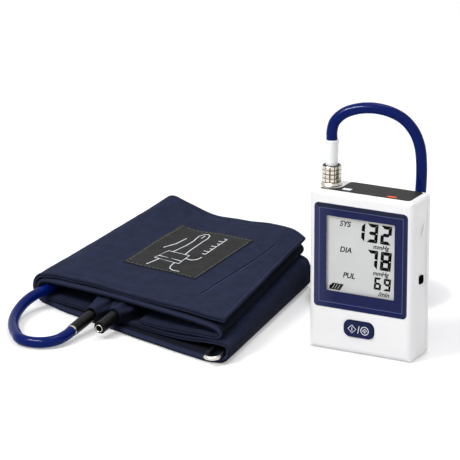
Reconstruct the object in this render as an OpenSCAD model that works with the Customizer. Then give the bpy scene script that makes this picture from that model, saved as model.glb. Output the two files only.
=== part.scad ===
// Ambulatory blood pressure recorder with its folded arm cuff and air hose.
// Millimetres, +Z up. The origin is the centre of the recorder's base, its display faces -Y.

/* [Recorder case] */
// Width of the case
case_w = 66; // [65:0.5:76]
// Depth of the case from front to back
case_d = 24.5; // [24.5:0.5:30]
// Height of the case
case_h = 95; // [95:0.5:110]
// Radius of the four upright edges
corner_r = 4.2; // [3:0.1:4.8]
// Radius of the edges round the top and the base
edge_r = 3.2; // [2.4:0.1:4]
// Wall of both case shells
wall = 1.8; // [1.5:0.1:2.1]
// Depth of the front shell, up to the parting line
front_d = 18; // [16:0.5:19]
// Width of the groove along the parting line
seam_w = 0.5; // [0.3:0.1:0.8]

/* [Display] */
// Width of the display bezel
bezel_w = 58.3; // [54:0.1:58.4]
// Height of the display bezel
bezel_h = 61.8; // [58:0.1:64]
// Corner radius of the bezel
bezel_r = 2.8; // [2:0.1:5]
// Height of the bezel's centre above the base
bezel_z = 56.6; // [55:0.1:57.5]
// How far the bezel stands out of the case
bezel_rise = 0.4; // [0.2:0.05:0.8]
// Width of the bevel round the bezel
bezel_bevel = 0.4; // [0.3:0.1:1]
// Width of the slope inside the bezel's rim
bezel_slope = 2.6; // [1.6:0.1:3.2]
// Depth that the slope leads down to
bezel_dish = 0.75; // [0.3:0.05:0.8]
// Width of the visible display
view_w = 42.9; // [38:0.1:44]
// Height of the visible display
view_h = 44.7; // [40:0.1:46.5]
// Margin of the display glass round what shows
glass_margin = 1.8; // [1.2:0.1:2]
// Thickness of the clear window
window_t = 0.7; // [0.5:0.05:0.8]
// Thickness of the display glass
lcd_t = 1.7; // [1.2:0.05:1.8]
// Thickness of the display holder behind the glass
holder_t = 1.45; // [1.2:0.05:1.6]

/* [Start button] */
// Width of the start and stop button
button_w = 19; // [15:0.5:22]
// Height of the button
button_h = 10; // [8:0.5:11]
// Corner radius of the button
button_r = 4; // [2.5:0.1:4.5]
// Height of the button's centre above the base
button_z = 15.3; // [14:0.1:16.5]
// How far the button stands out of the case
button_rise = 1; // [0.9:0.05:1.4]
// Travel of the button
button_travel = 0.7; // [0.4:0.05:0.8]

/* [Air connector] */
// Distance of the air socket to the left of the middle
socket_left = 24; // [22:0.1:24.5]
// Distance of the air socket in front of the middle
socket_front = 1; // [0:0.1:1.5]
// Radius of the socket's flange
flange_r = 6.2; // [5.8:0.1:6.6]
// Height of the socket's flange
flange_h = 2.2; // [1.8:0.1:2.6]
// Outer radius of the knurled collar
collar_r = 5.5; // [5.3:0.05:5.8]
// Height of the knurled collar
collar_h = 9.6; // [9:0.1:11]
// Knurl columns round the collar
knurl_columns = 12; // [10:1:18]
// Knurl rows along the collar
knurl_rows = 4; // [3:1:5]
// Radius of the hose sleeve at its top
sleeve_r = 4; // [3.9:0.05:4.1]
// Height of the hose sleeve
sleeve_h = 15.2; // [14:0.1:17]
// Radius of the air way through the connector
air_r = 1.1; // [0.8:0.05:1.2]
// Turns of the collar from tight to free
collar_turns = 1.5; // [1:0.25:2]

/* [Battery bay] */
// Diameter of a cell
cell_d = 14.2; // [13.5:0.1:14.4]
// Length of a cell with its button
cell_l = 50.5; // [49.2:0.1:50.6]
// Height of the battery cover
cover_h = 32; // [31.6:0.1:34]
// Thickness of the battery cover
cover_t = 1.5; // [1.3:0.05:1.6]
// Travel of the battery cover until its hooks are free
cover_travel = 5; // [4.6:0.1:5.2]
// Height of the finger ledge under the cover
ledge_h = 6; // [5.8:0.1:7]

/* [Air pump and valve] */
// Radius of the pump motor
motor_r = 6.6; // [6.2:0.05:6.9]
// Length of the pump motor
motor_l = 24; // [20:0.5:27]
// Length of the pump head along the motor
head_l = 14; // [12:0.5:15]
// Side of the pump head
head_w = 14.4; // [14:0.1:14.8]
// Throw of the pump's eccentric
eccentric_throw = 0.9; // [0.5:0.05:1.2]
// Travel of the exhaust valve's plunger
valve_travel = 1; // [0.5:0.1:1.5]

/* [Cuff] */
// Width of the folded cuff along its near edge
cuff_near_w = 160; // [150:1:168]
// Width of the folded cuff along its far edge
cuff_far_w = 127; // [118:1:138]
// Width of the cuff's band, along its right edge
cuff_l = 146; // [138:1:154]
// Thickness of the band, both cloths and bladder
band_t = 2.8; // [2.2:0.1:2.9]
// Thickness of each cloth
cloth_t = 0.95; // [0.6:0.05:1]
// Thickness of the cuff's label
label_t = 0.35; // [0.25:0.05:0.6]
// Wire radius of the metal bar
bar_wire_r = 1.2; // [0.9:0.05:1.3]
// Width of the metal bar's loop
bar_w = 10.4; // [8:0.1:11]
// Radius of the hose coupling; the spare port is a little wider
port_r = 3.5; // [3.4:0.05:3.7]
// Bore radius of the spare port
port_bore_r = 1.6; // [1.2:0.1:2]

/* [Air hose] */
// Diameter of the air hose
hose_d = 6.4; // [6:0.1:6.5]

/* [Hidden] */
$fn = 48;
eps = 0.01;
// Clearances: between stacked pieces, beside a fitted piece, to a seat, and for a moving piece
stack_gap = 0.05;
side_gap = 0.2;
seat_gap = 0.25;
run_gap = 0.3;
shaft_gap = 0.05;
thread_gap = 0.08;

// Depths of the recorder, from its front face at -Y to its back
front_y = -case_d/2;
back_y = case_d/2;
split_y = front_y + front_d;
in_front_y = front_y + wall;
in_back_y = back_y - wall;

// Display stack
bezel_set = 1;
glass_x = -0.5;
glass_rise = 1.3;
glass_z = bezel_z + glass_rise;
lcd_w = view_w + 2*glass_margin;
lcd_h = view_h + 2*glass_margin;
bezel_back_y = front_y + bezel_set;
window_y = bezel_back_y + stack_gap;
lcd_y = window_y + window_t + stack_gap;
holder_y = lcd_y + lcd_t + stack_gap;
board_y = holder_y + holder_t + stack_gap;
holder_rim = 1.6;
strip_t = 1.8;

// Main board
board_t = 1.6;
board_in = 8.2;
board_w = case_w - 2*board_in;
board_low = 8;
board_high = case_h - 13;
board_back_y = board_y + board_t;
post_r = 2;
post_pin_r = 0.8;
post_x = board_w/2 - 3;
post_pitch = 14;
post_zs = [board_low + 4, board_low + 4 + post_pitch];

// Case screws
boss_r = 2.2;
boss_x = case_w/2 - wall - boss_r + 0.4;
boss_low = 53.5;
boss_high = case_h - 15;
screw_r = 1;
screw_head_r = 1.7;
screw_head_t = 1;
pilot_r = 0.85;

// Start button
button_x = -0.4;
button_rim = 1.2;
button_flange_t = 0.8;
button_back_y = in_front_y + run_gap + button_flange_t;
switch_w = 6;
plunger_r = 1.5;
switch_y = button_back_y + button_travel + 2*stack_gap;

// Air connector, upwards from the top of the case
socket_x = -socket_left;
socket_y = -socket_front;
flange_top = case_h + flange_h;
neck_r = 3.6;
nozzle_r = 3.5;
thread_pitch = 2;
nozzle_top = flange_top + 2.6 + collar_turns*thread_pitch;
collar_low = flange_top + seat_gap;
collar_top = collar_low + collar_h;
collar_bore_r = nozzle_r + thread_gap;
nipple_low = nozzle_top + stack_gap;
nipple_flange_t = 1.2;
nipple_r = 1.9;
shoulder_low = nipple_low + nipple_flange_t + run_gap;
shoulder_r = 2.5;
sleeve_low = collar_top - 0.4;
sleeve_top = sleeve_low + sleeve_h;
sleeve_base_r = sleeve_r - 0.5;
cup_r = sleeve_r + run_gap;
stem_r = 1.6;
stem_low = case_h - 13;
nut_t = 2.4;
knurl_depth = 0.45;

// Top plate
plate_t = 0.5;
plate_set = 0.35;
plate_gap_r = flange_r + 0.9;

// Side grip and data socket
grip_depth = 1.1;
grip_low = 31;
grip_high = 87;
data_z = 46.8;
data_y = -0.6;
data_hole_d = 5;
data_hole_h = 4.8;
data_hole_r = 0.9;

// Battery bay
contact_room = 2.95;
bay_x = cell_l/2 + contact_room;
bay_wall = 0.9;
bay_floor_y = board_back_y + seat_gap + bay_wall;
cover_low = ledge_h;
cover_top = cover_low + cover_h;
cover_back_y = back_y;
cover_in_y = back_y - cover_t;
cover_x = bay_x - seat_gap;
bay_low = cover_low - side_gap;
bay_high = cover_top + seat_gap;
ledge_y = cover_in_y - run_gap;
cell_y = bay_floor_y + side_gap + cell_d/2;
cell_pitch = cell_d + 0.6;
cell_mid_z = (bay_low + bay_high)/2;
hook_l = cover_travel - 1.4;
hook_pitch = 14;
hook_low = cover_low + 5.2;
hook_zs = [hook_low, hook_low + hook_pitch];
rail_y = cover_in_y - 1.3;
rail_t = 1;
rail_w = 1.2;
spring_turns = 2.5;
spring_rings = 8;
spring_wire_r = 0.25;

// Pump, valve and sensor: the pipe's and the valve's heights are shares of the height above the pump
pipe_share = 0.364;
valve_share = 0.528;
head_x = -22;
pump_z = bay_high + bay_wall + 1 + head_w/2;
head_back_y = in_back_y - seat_gap;
pump_y = head_back_y - head_w/2;
shaft_r = 1;
can_wall = 1.3;
chamber_r = 5;
eccentric_r = chamber_r - eccentric_throw - 0.5;
pipe_r = 2.2;
pipe_bore_r = stem_r + 0.05;
main_r = 2.6;
main_bore_r = 1.85;
pump_top = pump_z + head_w/2;
free_h = board_high - pump_top;
pipe_z = pump_top + pipe_share*free_h;
outlet_x = head_x + head_l/2;
valve_w = 11;
valve_x = 0.5;
valve_low = pump_top + valve_share*free_h;
valve_h = board_high - valve_low;
beeper_r = 4;
valve_y = board_back_y + seat_gap;
valve_plunger_r = 1.7;
sensor_x = 14;

// Folded cuff: near right corner, and the directions of its near, right and far edges
cuff_corner = [-61, -58];
near_angle = 164.5;
right_angle = 98;
far_angle = 163.2;
core_gap = 0.12;
// The band's middle line across the folds, for an edge of route_w: [along it, height near, height far]
fold_route = [
    [147, 22.0, 28.8], [134, 22.2, 29.0], [112, 21.9, 28.9], [88, 21.6, 27.8], [60, 20.9, 26.8],
    [32, 19.2, 29.8], [14, 18.0, 30.6], [4.8, 15.8, 26.0], [1.6, 9.8, 15.6], [4.4, 3.9, 5.5],
    [12, 1.7, 2.0], [34, 1.5, 1.5], [62, 1.5, 1.5], [92, 1.5, 1.5], [118, 1.5, 1.5],
    [136, 1.5, 1.5], [146, 1.6, 1.6], [150, 2.9, 2.9], [150.9, 5.6, 6.4],
    [150.3, 8.0, 12.8], [147, 9.4, 16.4], [136, 8.7, 16.9], [122, 6.4, 13.0],
    [104, 4.9, 8.6], [78, 4.6, 6.0], [46, 4.6, 5.6], [24, 4.6, 6.0], [14, 4.6, 7.0],
    [6.8, 6.0, 10.0], [4.7, 9.6, 14.6], [7.4, 13.5, 20.4], [14.5, 15.0, 24.8],
    [30, 16.1, 25.2], [56, 17.5, 22.6], [84, 18.1, 23.4], [112, 18.4, 24.6], [130, 18.2, 24.9],
    [141, 17.2, 24.4], [144, 14.6, 22.4], [141, 12.4, 20.2], [132, 11.4, 19.4],
    [116, 9.6, 16.0], [100, 8.2, 12.4], [84, 7.9, 10.4]
];
fold_end = len(fold_route) - 1;
route_w = 150;
near_scale = cuff_near_w/route_w;
far_scale = cuff_far_w/route_w;
fold_steps = 2;
fold_stations = 4;
core_inset = 0.045;

// Label on the cuff's top fold: where it starts and ends along the folds and across the band
label_s = [2.1, 4.46];
label_u = [0.275, 0.785];

// Couplings at the cuff's near edge, measured from its right corner
hose_port_run = 100;
spare_port_run = 85.6;
port_z = 10.4;
port_slope = 8;
port_out = 34;
spare_out = 22;
port_l = 20;
port_ring_l = 1.6;
port_ring_r = port_r - 0.2;
spare_port_r = port_r + 0.2;
cloth_wall = 0.7;
cloth_sleeve_in = 4;
hose_cloth_l = 17;
spare_cloth_l = 10;
bar_over = 15;

// Air hose routes, by hand
arch_route = [
    [-24, -1, 121.9], [-24, -1, 127], [-22.4, -0.4, 132.6], [-17.4, 1.4, 137.6], [-10, 4, 140.4],
    [-2, 7, 141], [6, 10, 139.4], [13.4, 13, 135.4], [19, 15.4, 128.6], [22.4, 16.6, 120],
    [23.6, 17, 110], [23.6, 17, 98], [22.6, 17.2, 84], [21, 17.6, 68], [19, 18.4, 50],
    [17.2, 20.4, 33], [15, 25, 18.6], [12, 33, 8.8], [8.2, 43, 4.4], [3.4, 53, 3.6],
    [-1.6, 61.4, 3.6], [-5.2, 69.6, 3.6], [-7.1, 77.2, 3.6], [-7.99, 83.95, 3.6]
];
coil_centre = [-40, 84];
coil_r = 32;
coil_turns = 2.25;
coil_layer = 6.95;
coil_rest = 3.6;
tail_route = [
    [-40.05, 116, 17.5], [-48, 117, 17.4], [-56, 117.4, 16], [-64, 116.2, 13], [-72, 112.8, 9.4],
    [-80, 107.8, 6], [-88, 103.2, 4.2], [-97, 100.8, 3.6], [-109, 102, 3.6], [-122.5, 106.4, 3.6],
    [-134.5, 112, 3.6], [-146, 118.4, 3.7], [-157, 124.7, 4.4], [-167.7, 130.9, 5.8],
    [-175.7, 133, 7.4], [-183.7, 130.9, 9.6], [-189.6, 125, 11.8], [-191.7, 117, 13.2],
    [-193.3, 98, 13], [-195.4, 72, 12.2], [-197.5, 46, 11.4], [-199.6, 20, 10.6],
    [-201.6, -4, 10], [-202.9, -20, 9.8], [-205, -29, 9], [-205.8, -39, 7.2], [-204.2, -50, 5.2],
    [-200.2, -61, 3.8], [-194.2, -71, 3.3], [-187, -79.8, 3.3], [-180.9, -86, 3.3],
    [-173.4, -88, 3.3], [-165.9, -86, 3.4], [-160.4, -80.5, 3.9], [-158.5, -73, 4.6],
    [-158.29, -66.7, 5.42]
];

// Flat outline with round corners, centred
module rounded_rect(w, h, r) {
    square([w - 2*r, h], center = true);
    square([w, h - 2*r], center = true);
    for (x = [-1, 1], y = [-1, 1]) translate([x*(w/2 - r), y*(h/2 - r)]) circle(r);
}

// Plate that stands upright, facing -Y, from y0 to y1
module upright(w, h, r, x, z, y0, y1) {
    translate([x, y1, z]) rotate([90, 0, 0]) linear_extrude(y1 - y0) rounded_rect(w, h, r);
}

// Box from one corner to the other
module span(low, high) {
    translate(low) cube(high - low);
}

// Rod along Y from y0 to y1
module rod_y(r, x, z, y0, y1) {
    translate([x, y0, z]) rotate([-90, 0, 0]) cylinder(r = r, h = y1 - y0);
}

// Rod along X from x0 to x1
module rod_x(r, y, z, x0, x1) {
    translate([x0, y, z]) rotate([0, 90, 0]) cylinder(r = r, h = x1 - x0);
}

// Rod along Z from z0 to z1
module rod_z(r, x, y, z0, z1) {
    translate([x, y, z0]) cylinder(r = r, h = z1 - z0);
}

// The case's outside, drawn in by a margin on every side
module case_block(inset) {
    w = case_w - 2*inset;
    d = case_d - 2*inset;
    h = case_h - 2*inset;
    rc = corner_r - inset;
    re = edge_r - min(inset, edge_r - 0.6);
    intersection() {
        translate([0, 0, inset]) linear_extrude(h) rounded_rect(w, d, rc);
        translate([0, d/2, case_h/2]) rotate([90, 0, 0]) linear_extrude(d) rounded_rect(w, h, re);
        translate([-w/2, 0, case_h/2]) rotate([90, 0, 90]) linear_extrude(w) rounded_rect(d, h, re);
    }
}

// Everything between two depths
module depth_slab(y0, y1) {
    span([-case_w, y0, -case_h], [case_w, y1, 2*case_h]);
}

// Shallow groove all round the case along the parting line
module seam_groove() {
    difference() {
        depth_slab(split_y - seam_w/2, split_y + seam_w/2);
        case_block(seam_w);
    }
}

// Long finger hollow in the right side, a shallow arc with a slanted foot
module side_grip() {
    steps = 16;
    rise = grip_high - grip_low;
    edge = [for (i = [0:steps]) [case_w/2 - grip_depth*sin(180*i/steps), grip_low + rise*i/steps]];
    outside = [[case_w/2 + 2, grip_high], [case_w/2 + 2, grip_low]];
    translate([0, split_y - seam_w/2, 0]) rotate([90, 0, 0])
        linear_extrude(split_y - seam_w/2 + 5) polygon(concat(edge, outside));
}

// Hole through the case's side to the data socket
module data_opening() {
    translate([case_w/2 - wall - 1, data_y, data_z]) rotate([90, 0, 90])
        linear_extrude(wall + 3) rounded_rect(data_hole_d, data_hole_h, data_hole_r);
}

// Printed plate on the case's top, cut out round the air socket
module plate_outline(gap) {
    low = front_y + 2.6 - gap;
    high = back_y - 3 + gap;
    left = -case_w/2 + 6 - gap;
    right = case_w/2 - 4 + gap;
    neck = socket_x + 7.4 - gap;
    difference() {
        union() {
            translate([(left + right)/2, low + 2]) rounded_rect(right - left, 4, 1.9);
            translate([(neck + right)/2, (low + high)/2]) rounded_rect(right - neck, high - low, 2.4);
            translate([neck - 4, low + 1]) square([8, 6]);
        }
        translate([socket_x, socket_y]) circle(plate_gap_r - gap);
    }
}

// Shallow recess for that plate
module plate_recess() {
    translate([0, 0, case_h - plate_set]) linear_extrude(plate_set + 1) plate_outline(0.1);
}

// Front shell with its display opening, button hole, screw bosses and board posts
module front_case() {
    color("white") difference() {
        union() {
            intersection() {
                difference() {
                    case_block(0);
                    case_block(wall);
                    side_grip();
                }
                depth_slab(front_y - 1, split_y);
            }
            intersection() {
                for (x = [-boss_x, boss_x], z = [boss_low, boss_high])
                    rod_y(boss_r, x, z, front_y, split_y);
                case_block(wall/2);
            }
            for (x = [-post_x, post_x], z = post_zs) {
                rod_y(post_r, x, z, in_front_y - wall/2, board_y - stack_gap);
                rod_y(post_pin_r, x, z, in_front_y, board_back_y + 0.15);
            }
        }
        upright(bezel_w + side_gap, bezel_h + side_gap, bezel_r, 0, bezel_z, front_y - 1, bezel_back_y);
        upright(lcd_w + 0.6, lcd_h + 0.6, 1, glass_x, glass_z, front_y - 1, in_front_y + 1);
        upright(button_w + run_gap, button_h + run_gap, button_r, button_x, button_z,
            front_y - 1, in_front_y + 1);
        rod_z(neck_r + 0.1, socket_x, socket_y, case_h - wall - 1, case_h + 1);
        plate_recess();
        data_opening();
        span([-bay_x - bay_wall - side_gap, bay_floor_y - bay_wall, bay_low - bay_wall - side_gap],
            [bay_x + bay_wall + side_gap, split_y + 1, bay_high + bay_wall + side_gap]);
        for (x = [-boss_x, boss_x], z = [boss_low, boss_high])
            rod_y(pilot_r, x, z, split_y - 11, split_y + 1);
        seam_groove();
    }
}

// Rear shell with the battery bay, cover rails and pump saddles
module rear_case() {
    color("white") difference() {
        union() {
            intersection() {
                difference() {
                    case_block(0);
                    case_block(wall);
                }
                depth_slab(split_y, back_y + 1);
            }
            span([-bay_x - bay_wall, bay_floor_y - bay_wall, bay_low - bay_wall],
                [bay_x + bay_wall, in_back_y + eps, bay_high + bay_wall]);
            span([-bay_x - bay_wall, ledge_y - wall, wall - 0.2],
                [bay_x + bay_wall, in_back_y + eps, bay_low]);
            pump_saddles();
        }
        span([-bay_x, bay_floor_y, bay_low], [bay_x, back_y + 1, bay_high]);
        span([-bay_x, ledge_y, -1], [bay_x, back_y + 1, bay_low + 1]);
        for (x = [-boss_x, boss_x], z = [boss_low, boss_high]) {
            rod_y(screw_r + 0.15, x, z, split_y - 1, back_y + 1);
            rod_y(screw_head_r + 0.2, x, z, back_y - screw_head_t, back_y + 1);
        }
        plate_recess();
        seam_groove();
    }
    color("white") for (side = [-1, 1], z = hook_zs)
        translate([side > 0 ? bay_x - rail_w : -bay_x - eps, rail_y, z])
            cube([rail_w + eps, rail_t, hook_l + 0.4]);
}

// Two upright ribs that hold the pump motor by its back
module pump_saddles() {
    motor_x = head_x + head_l;
    difference() {
        for (x = [motor_x + 5, motor_x + motor_l - 6])
            span([x, pump_y + 1, pump_z - motor_r], [x + 1.4, in_back_y + eps, pump_z + motor_r]);
        rod_x(motor_r + seat_gap, pump_y, pump_z, motor_x, motor_x + motor_l + 2);
    }
}

// Four screws that close the case from behind
module case_screws() {
    color("silver") for (x = [-boss_x, boss_x], z = [boss_low, boss_high]) difference() {
        union() {
            rod_y(screw_r - 0.2, x, z, split_y - 7, back_y - screw_head_t);
            rod_y(screw_head_r, x, z, back_y - screw_head_t + stack_gap, back_y - 0.1);
            rod_y(screw_r, x, z, split_y + 0.2, back_y - screw_head_t + 0.2);
        }
        span([x - screw_head_r, back_y - 0.5, z - 0.25], [x + screw_head_r, back_y + 1, z + 0.25]);
        span([x - 0.25, back_y - 0.5, z - screw_head_r], [x + 0.25, back_y + 1, z + screw_head_r]);
    }
}

// Ridge along one side of the bezel: full width at the case, narrower at its face
module bevel_profile(w, l) {
    y0 = front_y + bezel_set;
    y1 = front_y;
    y2 = front_y - bezel_rise;
    translate([0, 0, -l/2]) linear_extrude(l) polygon([[-w/2, y0], [-w/2, y1],
        [bezel_bevel - w/2, y2], [w/2 - bezel_bevel, y2], [w/2, y1], [w/2, y0]]);
}

// Hollow inside the bezel's rim: as deep as its slope, wider towards the face
module dish_profile(w, l) {
    rim_y = front_y - bezel_rise;
    outer = w/2 - bezel_bevel;
    inner = outer - bezel_slope;
    translate([0, 0, -l/2]) linear_extrude(l) polygon([[-inner, rim_y + bezel_dish], [-outer, rim_y],
        [-outer, rim_y - 1], [outer, rim_y - 1], [outer, rim_y], [inner, rim_y + bezel_dish]]);
}

// Blue frame round the display: bevelled on its outer edge, and sloped inwards inside its rim
module display_bezel() {
    rim_y = front_y - bezel_rise;
    color("midnightblue") difference() {
        intersection() {
            upright(bezel_w, bezel_h, bezel_r, 0, bezel_z, rim_y - 1, bezel_back_y);
            translate([0, 0, bezel_z]) bevel_profile(bezel_w, bezel_h + 2);
            translate([0, 0, bezel_z]) rotate([0, 90, 0]) bevel_profile(bezel_h, bezel_w + 2);
        }
        upright(view_w, view_h, 0.8, glass_x, glass_z, rim_y - 1, bezel_back_y + 1);
        translate([0, 0, bezel_z]) intersection() {
            dish_profile(bezel_w, bezel_h + 2);
            rotate([0, 90, 0]) dish_profile(bezel_h, bezel_w + 2);
        }
    }
}

// Clear window behind the bezel
module display_window() {
    color("white", 0.3) upright(lcd_w - side_gap, lcd_h - side_gap, 0.8, glass_x, glass_z,
        window_y, window_y + window_t);
}

// Display glass
module lcd_panel() {
    color("lightgrey") upright(lcd_w, lcd_h, 0.6, glass_x, glass_z, lcd_y, lcd_y + lcd_t);
}

// Tray that holds the display glass on the board, slotted for the contact strips
module lcd_holder() {
    rim_y = in_front_y + seat_gap;
    color("ivory") difference() {
        upright(lcd_w + 2*holder_rim, lcd_h + 2*holder_rim, 1, glass_x, glass_z, rim_y,
            board_y - stack_gap);
        upright(lcd_w + 2*side_gap, lcd_h + 2*side_gap, 0.6, glass_x, glass_z, rim_y - 1, holder_y);
        for (side = [-1, 1]) upright(lcd_w - 3, strip_t + 2*side_gap, 0.4, glass_x,
            glass_z + side*(lcd_h/2 - 3), holder_y - 1, board_y + 1);
    }
}

// Rubber strips that join the display glass to the board
module lcd_contact_strips() {
    color("pink") for (side = [-1, 1]) upright(lcd_w - 3.6, strip_t, 0.3, glass_x,
        glass_z + side*(lcd_h/2 - 3), holder_y, board_y - stack_gap);
}

// Circuit board with its pin holes
module main_board() {
    color("darkgreen") difference() {
        upright(board_w, board_high - board_low, 1.5, 0, (board_high + board_low)/2, board_y,
            board_back_y);
        for (x = [-post_x, post_x], z = post_zs)
            rod_y(post_pin_r + 0.1, x, z, board_y - 1, board_back_y + 1);
    }
}

// Push switch behind the start button
module button_switch() {
    color("dimgrey") difference() {
        upright(switch_w, switch_w, 0.6, button_x, button_z, switch_y, board_y - stack_gap);
        rod_y(plunger_r + 0.1, button_x, button_z, switch_y - 1, board_y + 1);
    }
}

// Plunger of the push switch, which the button rests on
module switch_plunger() {
    color("black") rod_y(plunger_r, button_x, button_z, button_back_y,
        board_y - stack_gap - button_travel - 0.1);
}

// Button cap: a pill with a crowned edge and a retaining rim inside the case
module start_button() {
    face_y = front_y - button_rise;
    color("navy") {
        upright(button_w, button_h, button_r, button_x, button_z, front_y - button_rise + 0.5,
            in_front_y + run_gap + eps);
        upright(button_w - 0.8, button_h - 0.8, button_r - 0.4, button_x, button_z, face_y,
            front_y - button_rise + 0.6);
        upright(button_w + 2*button_rim, button_h + 2*button_rim, button_r + button_rim, button_x,
            button_z, in_front_y + run_gap, button_back_y);
    }
}

// Dark plate let into the top of the case
module top_plate() {
    color("dimgrey") translate([0, 0, case_h - plate_set]) linear_extrude(plate_t) plate_outline(0);
}

// Data socket inside the opening of the right side
module data_socket() {
    x1 = case_w/2 - wall - side_gap;
    color("black") difference() {
        span([x1 - 6.4, data_y - 3.7, data_z - 3.3], [x1, data_y + 3.7, data_z + 3.3]);
        translate([x1 - 5, data_y, data_z]) rotate([90, 0, 90]) linear_extrude(6)
            rounded_rect(data_hole_d - side_gap, data_hole_h - side_gap, data_hole_r - 0.1);
    }
}

// Metal socket in the top of the case: flared flange, nozzle above, hose stem below
module air_socket() {
    color("silver") translate([socket_x, socket_y, 0]) rotate_extrude() polygon([
        [air_r, stem_low], [stem_r, stem_low], [stem_r, case_h - 6.5], [neck_r, case_h - 6.5],
        [neck_r, case_h + stack_gap], [flange_r, case_h + stack_gap], [flange_r, case_h + 0.9],
        [collar_r - 0.1, flange_top - 0.2], [collar_r - 0.3, flange_top], [nozzle_r, flange_top],
        [nozzle_r, nozzle_top - 0.4], [nozzle_r - 0.4, nozzle_top], [air_r, nozzle_top]]);
}

// Hexagonal nut that holds the socket from inside
module socket_nut() {
    top = case_h - wall - 1.1;
    color("silver") difference() {
        translate([socket_x, socket_y, top - nut_t]) cylinder(r = neck_r + 2, h = nut_t, $fn = 6);
        rod_z(neck_r + shaft_gap, socket_x, socket_y, top - nut_t - 1, top + 1);
    }
}

// Rubber washer between the nut and the case's top
module socket_seal() {
    top = case_h - wall - stack_gap;
    color("black") difference() {
        rod_z(neck_r + 1.6, socket_x, socket_y, top - 1, top);
        rod_z(neck_r + shaft_gap, socket_x, socket_y, top - 2, top + 1);
    }
}

// Brass nipple inside the collar, which carries the hose
module plug_nipple() {
    color("goldenrod") translate([socket_x, socket_y, 0]) rotate_extrude() polygon([
        [air_r, nipple_low], [nozzle_r - 0.1, nipple_low],
        [nozzle_r - 0.1, nipple_low + nipple_flange_t],
        [nipple_r, nipple_low + nipple_flange_t], [nipple_r, sleeve_top - 0.3],
        [air_r, sleeve_top - 0.3]]);
}

// Knurled screw collar: pads in rows and columns, a shoulder that pulls the nipple down
module plug_collar() {
    pad_h = collar_h/knurl_rows;
    color("silver") difference() {
        translate([socket_x, socket_y, 0]) rotate_extrude() polygon(concat(
            [[collar_bore_r, collar_low], [collar_r - 0.4, collar_low], [collar_r, collar_low + 0.4]],
            [for (i = [1:knurl_rows - 1], p = [[0, -0.35], [-knurl_depth, 0], [0, 0.35]])
                [collar_r + p[0], collar_low + i*pad_h + p[1]]],
            [[collar_r, collar_top - 0.6], [collar_r - 0.5, collar_top], [cup_r, collar_top],
                [cup_r, shoulder_low + 1], [shoulder_r, shoulder_low + 1],
                [shoulder_r, shoulder_low], [collar_bore_r, shoulder_low]]));
        for (i = [0:knurl_columns - 1]) translate([socket_x, socket_y, collar_low - 1])
            rotate([0, 0, (i + 0.5)*360/knurl_columns]) translate([collar_r + 0.1, 0, 0])
                rotate([0, 0, 45]) translate([-0.4, -0.4, 0]) cube([0.8, 0.8, collar_h + 2]);
    }
}

// Pale sleeve that grips the hose on the nipple, a little wider at its lip
module plug_sleeve() {
    color("white") translate([socket_x, socket_y, 0]) rotate_extrude() polygon([
        [nipple_r + 0.1, sleeve_low], [sleeve_base_r - 0.3, sleeve_low],
        [sleeve_base_r, sleeve_low + 0.4], [sleeve_r - 0.15, sleeve_top - 1.4],
        [sleeve_r, sleeve_top - 1.1], [sleeve_r, sleeve_top - 0.2], [sleeve_r - 0.2, sleeve_top],
        [nipple_r + 0.1, sleeve_top]]);
}

// Silicone pipes from the socket to the pump, the valve and the sensor
module air_pipes() {
    outlet_z = pump_z + head_w/2 + seat_gap;
    color("gainsboro") difference() {
        union() {
            rod_x(main_r, socket_y, pipe_z, socket_x - main_r - 0.6, sensor_x - seat_gap);
            rod_z(pipe_r, socket_x, socket_y, pipe_z, stem_low + 4);
            rod_z(pipe_r, outlet_x, socket_y, outlet_z, pipe_z);
            rod_z(pipe_r, valve_x, socket_y, pipe_z, valve_low - seat_gap);
        }
        rod_x(main_bore_r, socket_y, pipe_z, socket_x - main_bore_r, sensor_x + 1);
        rod_z(pipe_bore_r, socket_x, socket_y, pipe_z, stem_low + 5);
        rod_z(pipe_bore_r, outlet_x, socket_y, outlet_z - 1, pipe_z);
        rod_z(pipe_bore_r, valve_x, socket_y, pipe_z, valve_low);
    }
}

// Pump motor: a closed can with a bearing in each end
module pump_motor() {
    x0 = head_x + head_l + stack_gap;
    x1 = x0 + motor_l;
    color("silver") difference() {
        union() {
            rod_x(motor_r, pump_y, pump_z, x0, x1);
            rod_x(2.4, pump_y, pump_z, x1 - eps, x1 + 1.6);
        }
        rod_x(motor_r - can_wall, pump_y, pump_z, x0 + can_wall, x1 - can_wall);
        rod_x(shaft_r + shaft_gap, pump_y, pump_z, x0 - 1, x1 + 1);
    }
}

// Motor's armature with its shaft and the eccentric that drives the pump
module pump_rotor() {
    x0 = head_x + head_l + stack_gap;
    color("peru") {
        rod_x(shaft_r, pump_y, pump_z, head_x + 3.4, x0 + motor_l + 0.6);
        rod_x(motor_r - can_wall - 0.5, pump_y, pump_z, x0 + can_wall + 1, x0 + motor_l - can_wall - 1);
        rod_x(eccentric_r, pump_y + eccentric_throw, pump_z, head_x + 4, head_x + head_l - 4);
    }
}

// Pump head with its chamber and outlet
module pump_head() {
    top = pump_z + head_w/2;
    color("black") difference() {
        union() {
            upright_block(head_x, head_l);
            rod_z(stem_r, outlet_x, socket_y, top - 1, top + 5);
        }
        rod_x(chamber_r, pump_y, pump_z, head_x + 3, head_x + head_l + 1);
        rod_z(0.8, outlet_x, socket_y, pump_z, top + 6);
    }
}

// Square block round the pump's axis, with round edges
module upright_block(x0, l) {
    translate([x0, pump_y, pump_z]) rotate([90, 0, 90]) linear_extrude(l)
        rounded_rect(head_w, head_w, 1.6);
}

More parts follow.
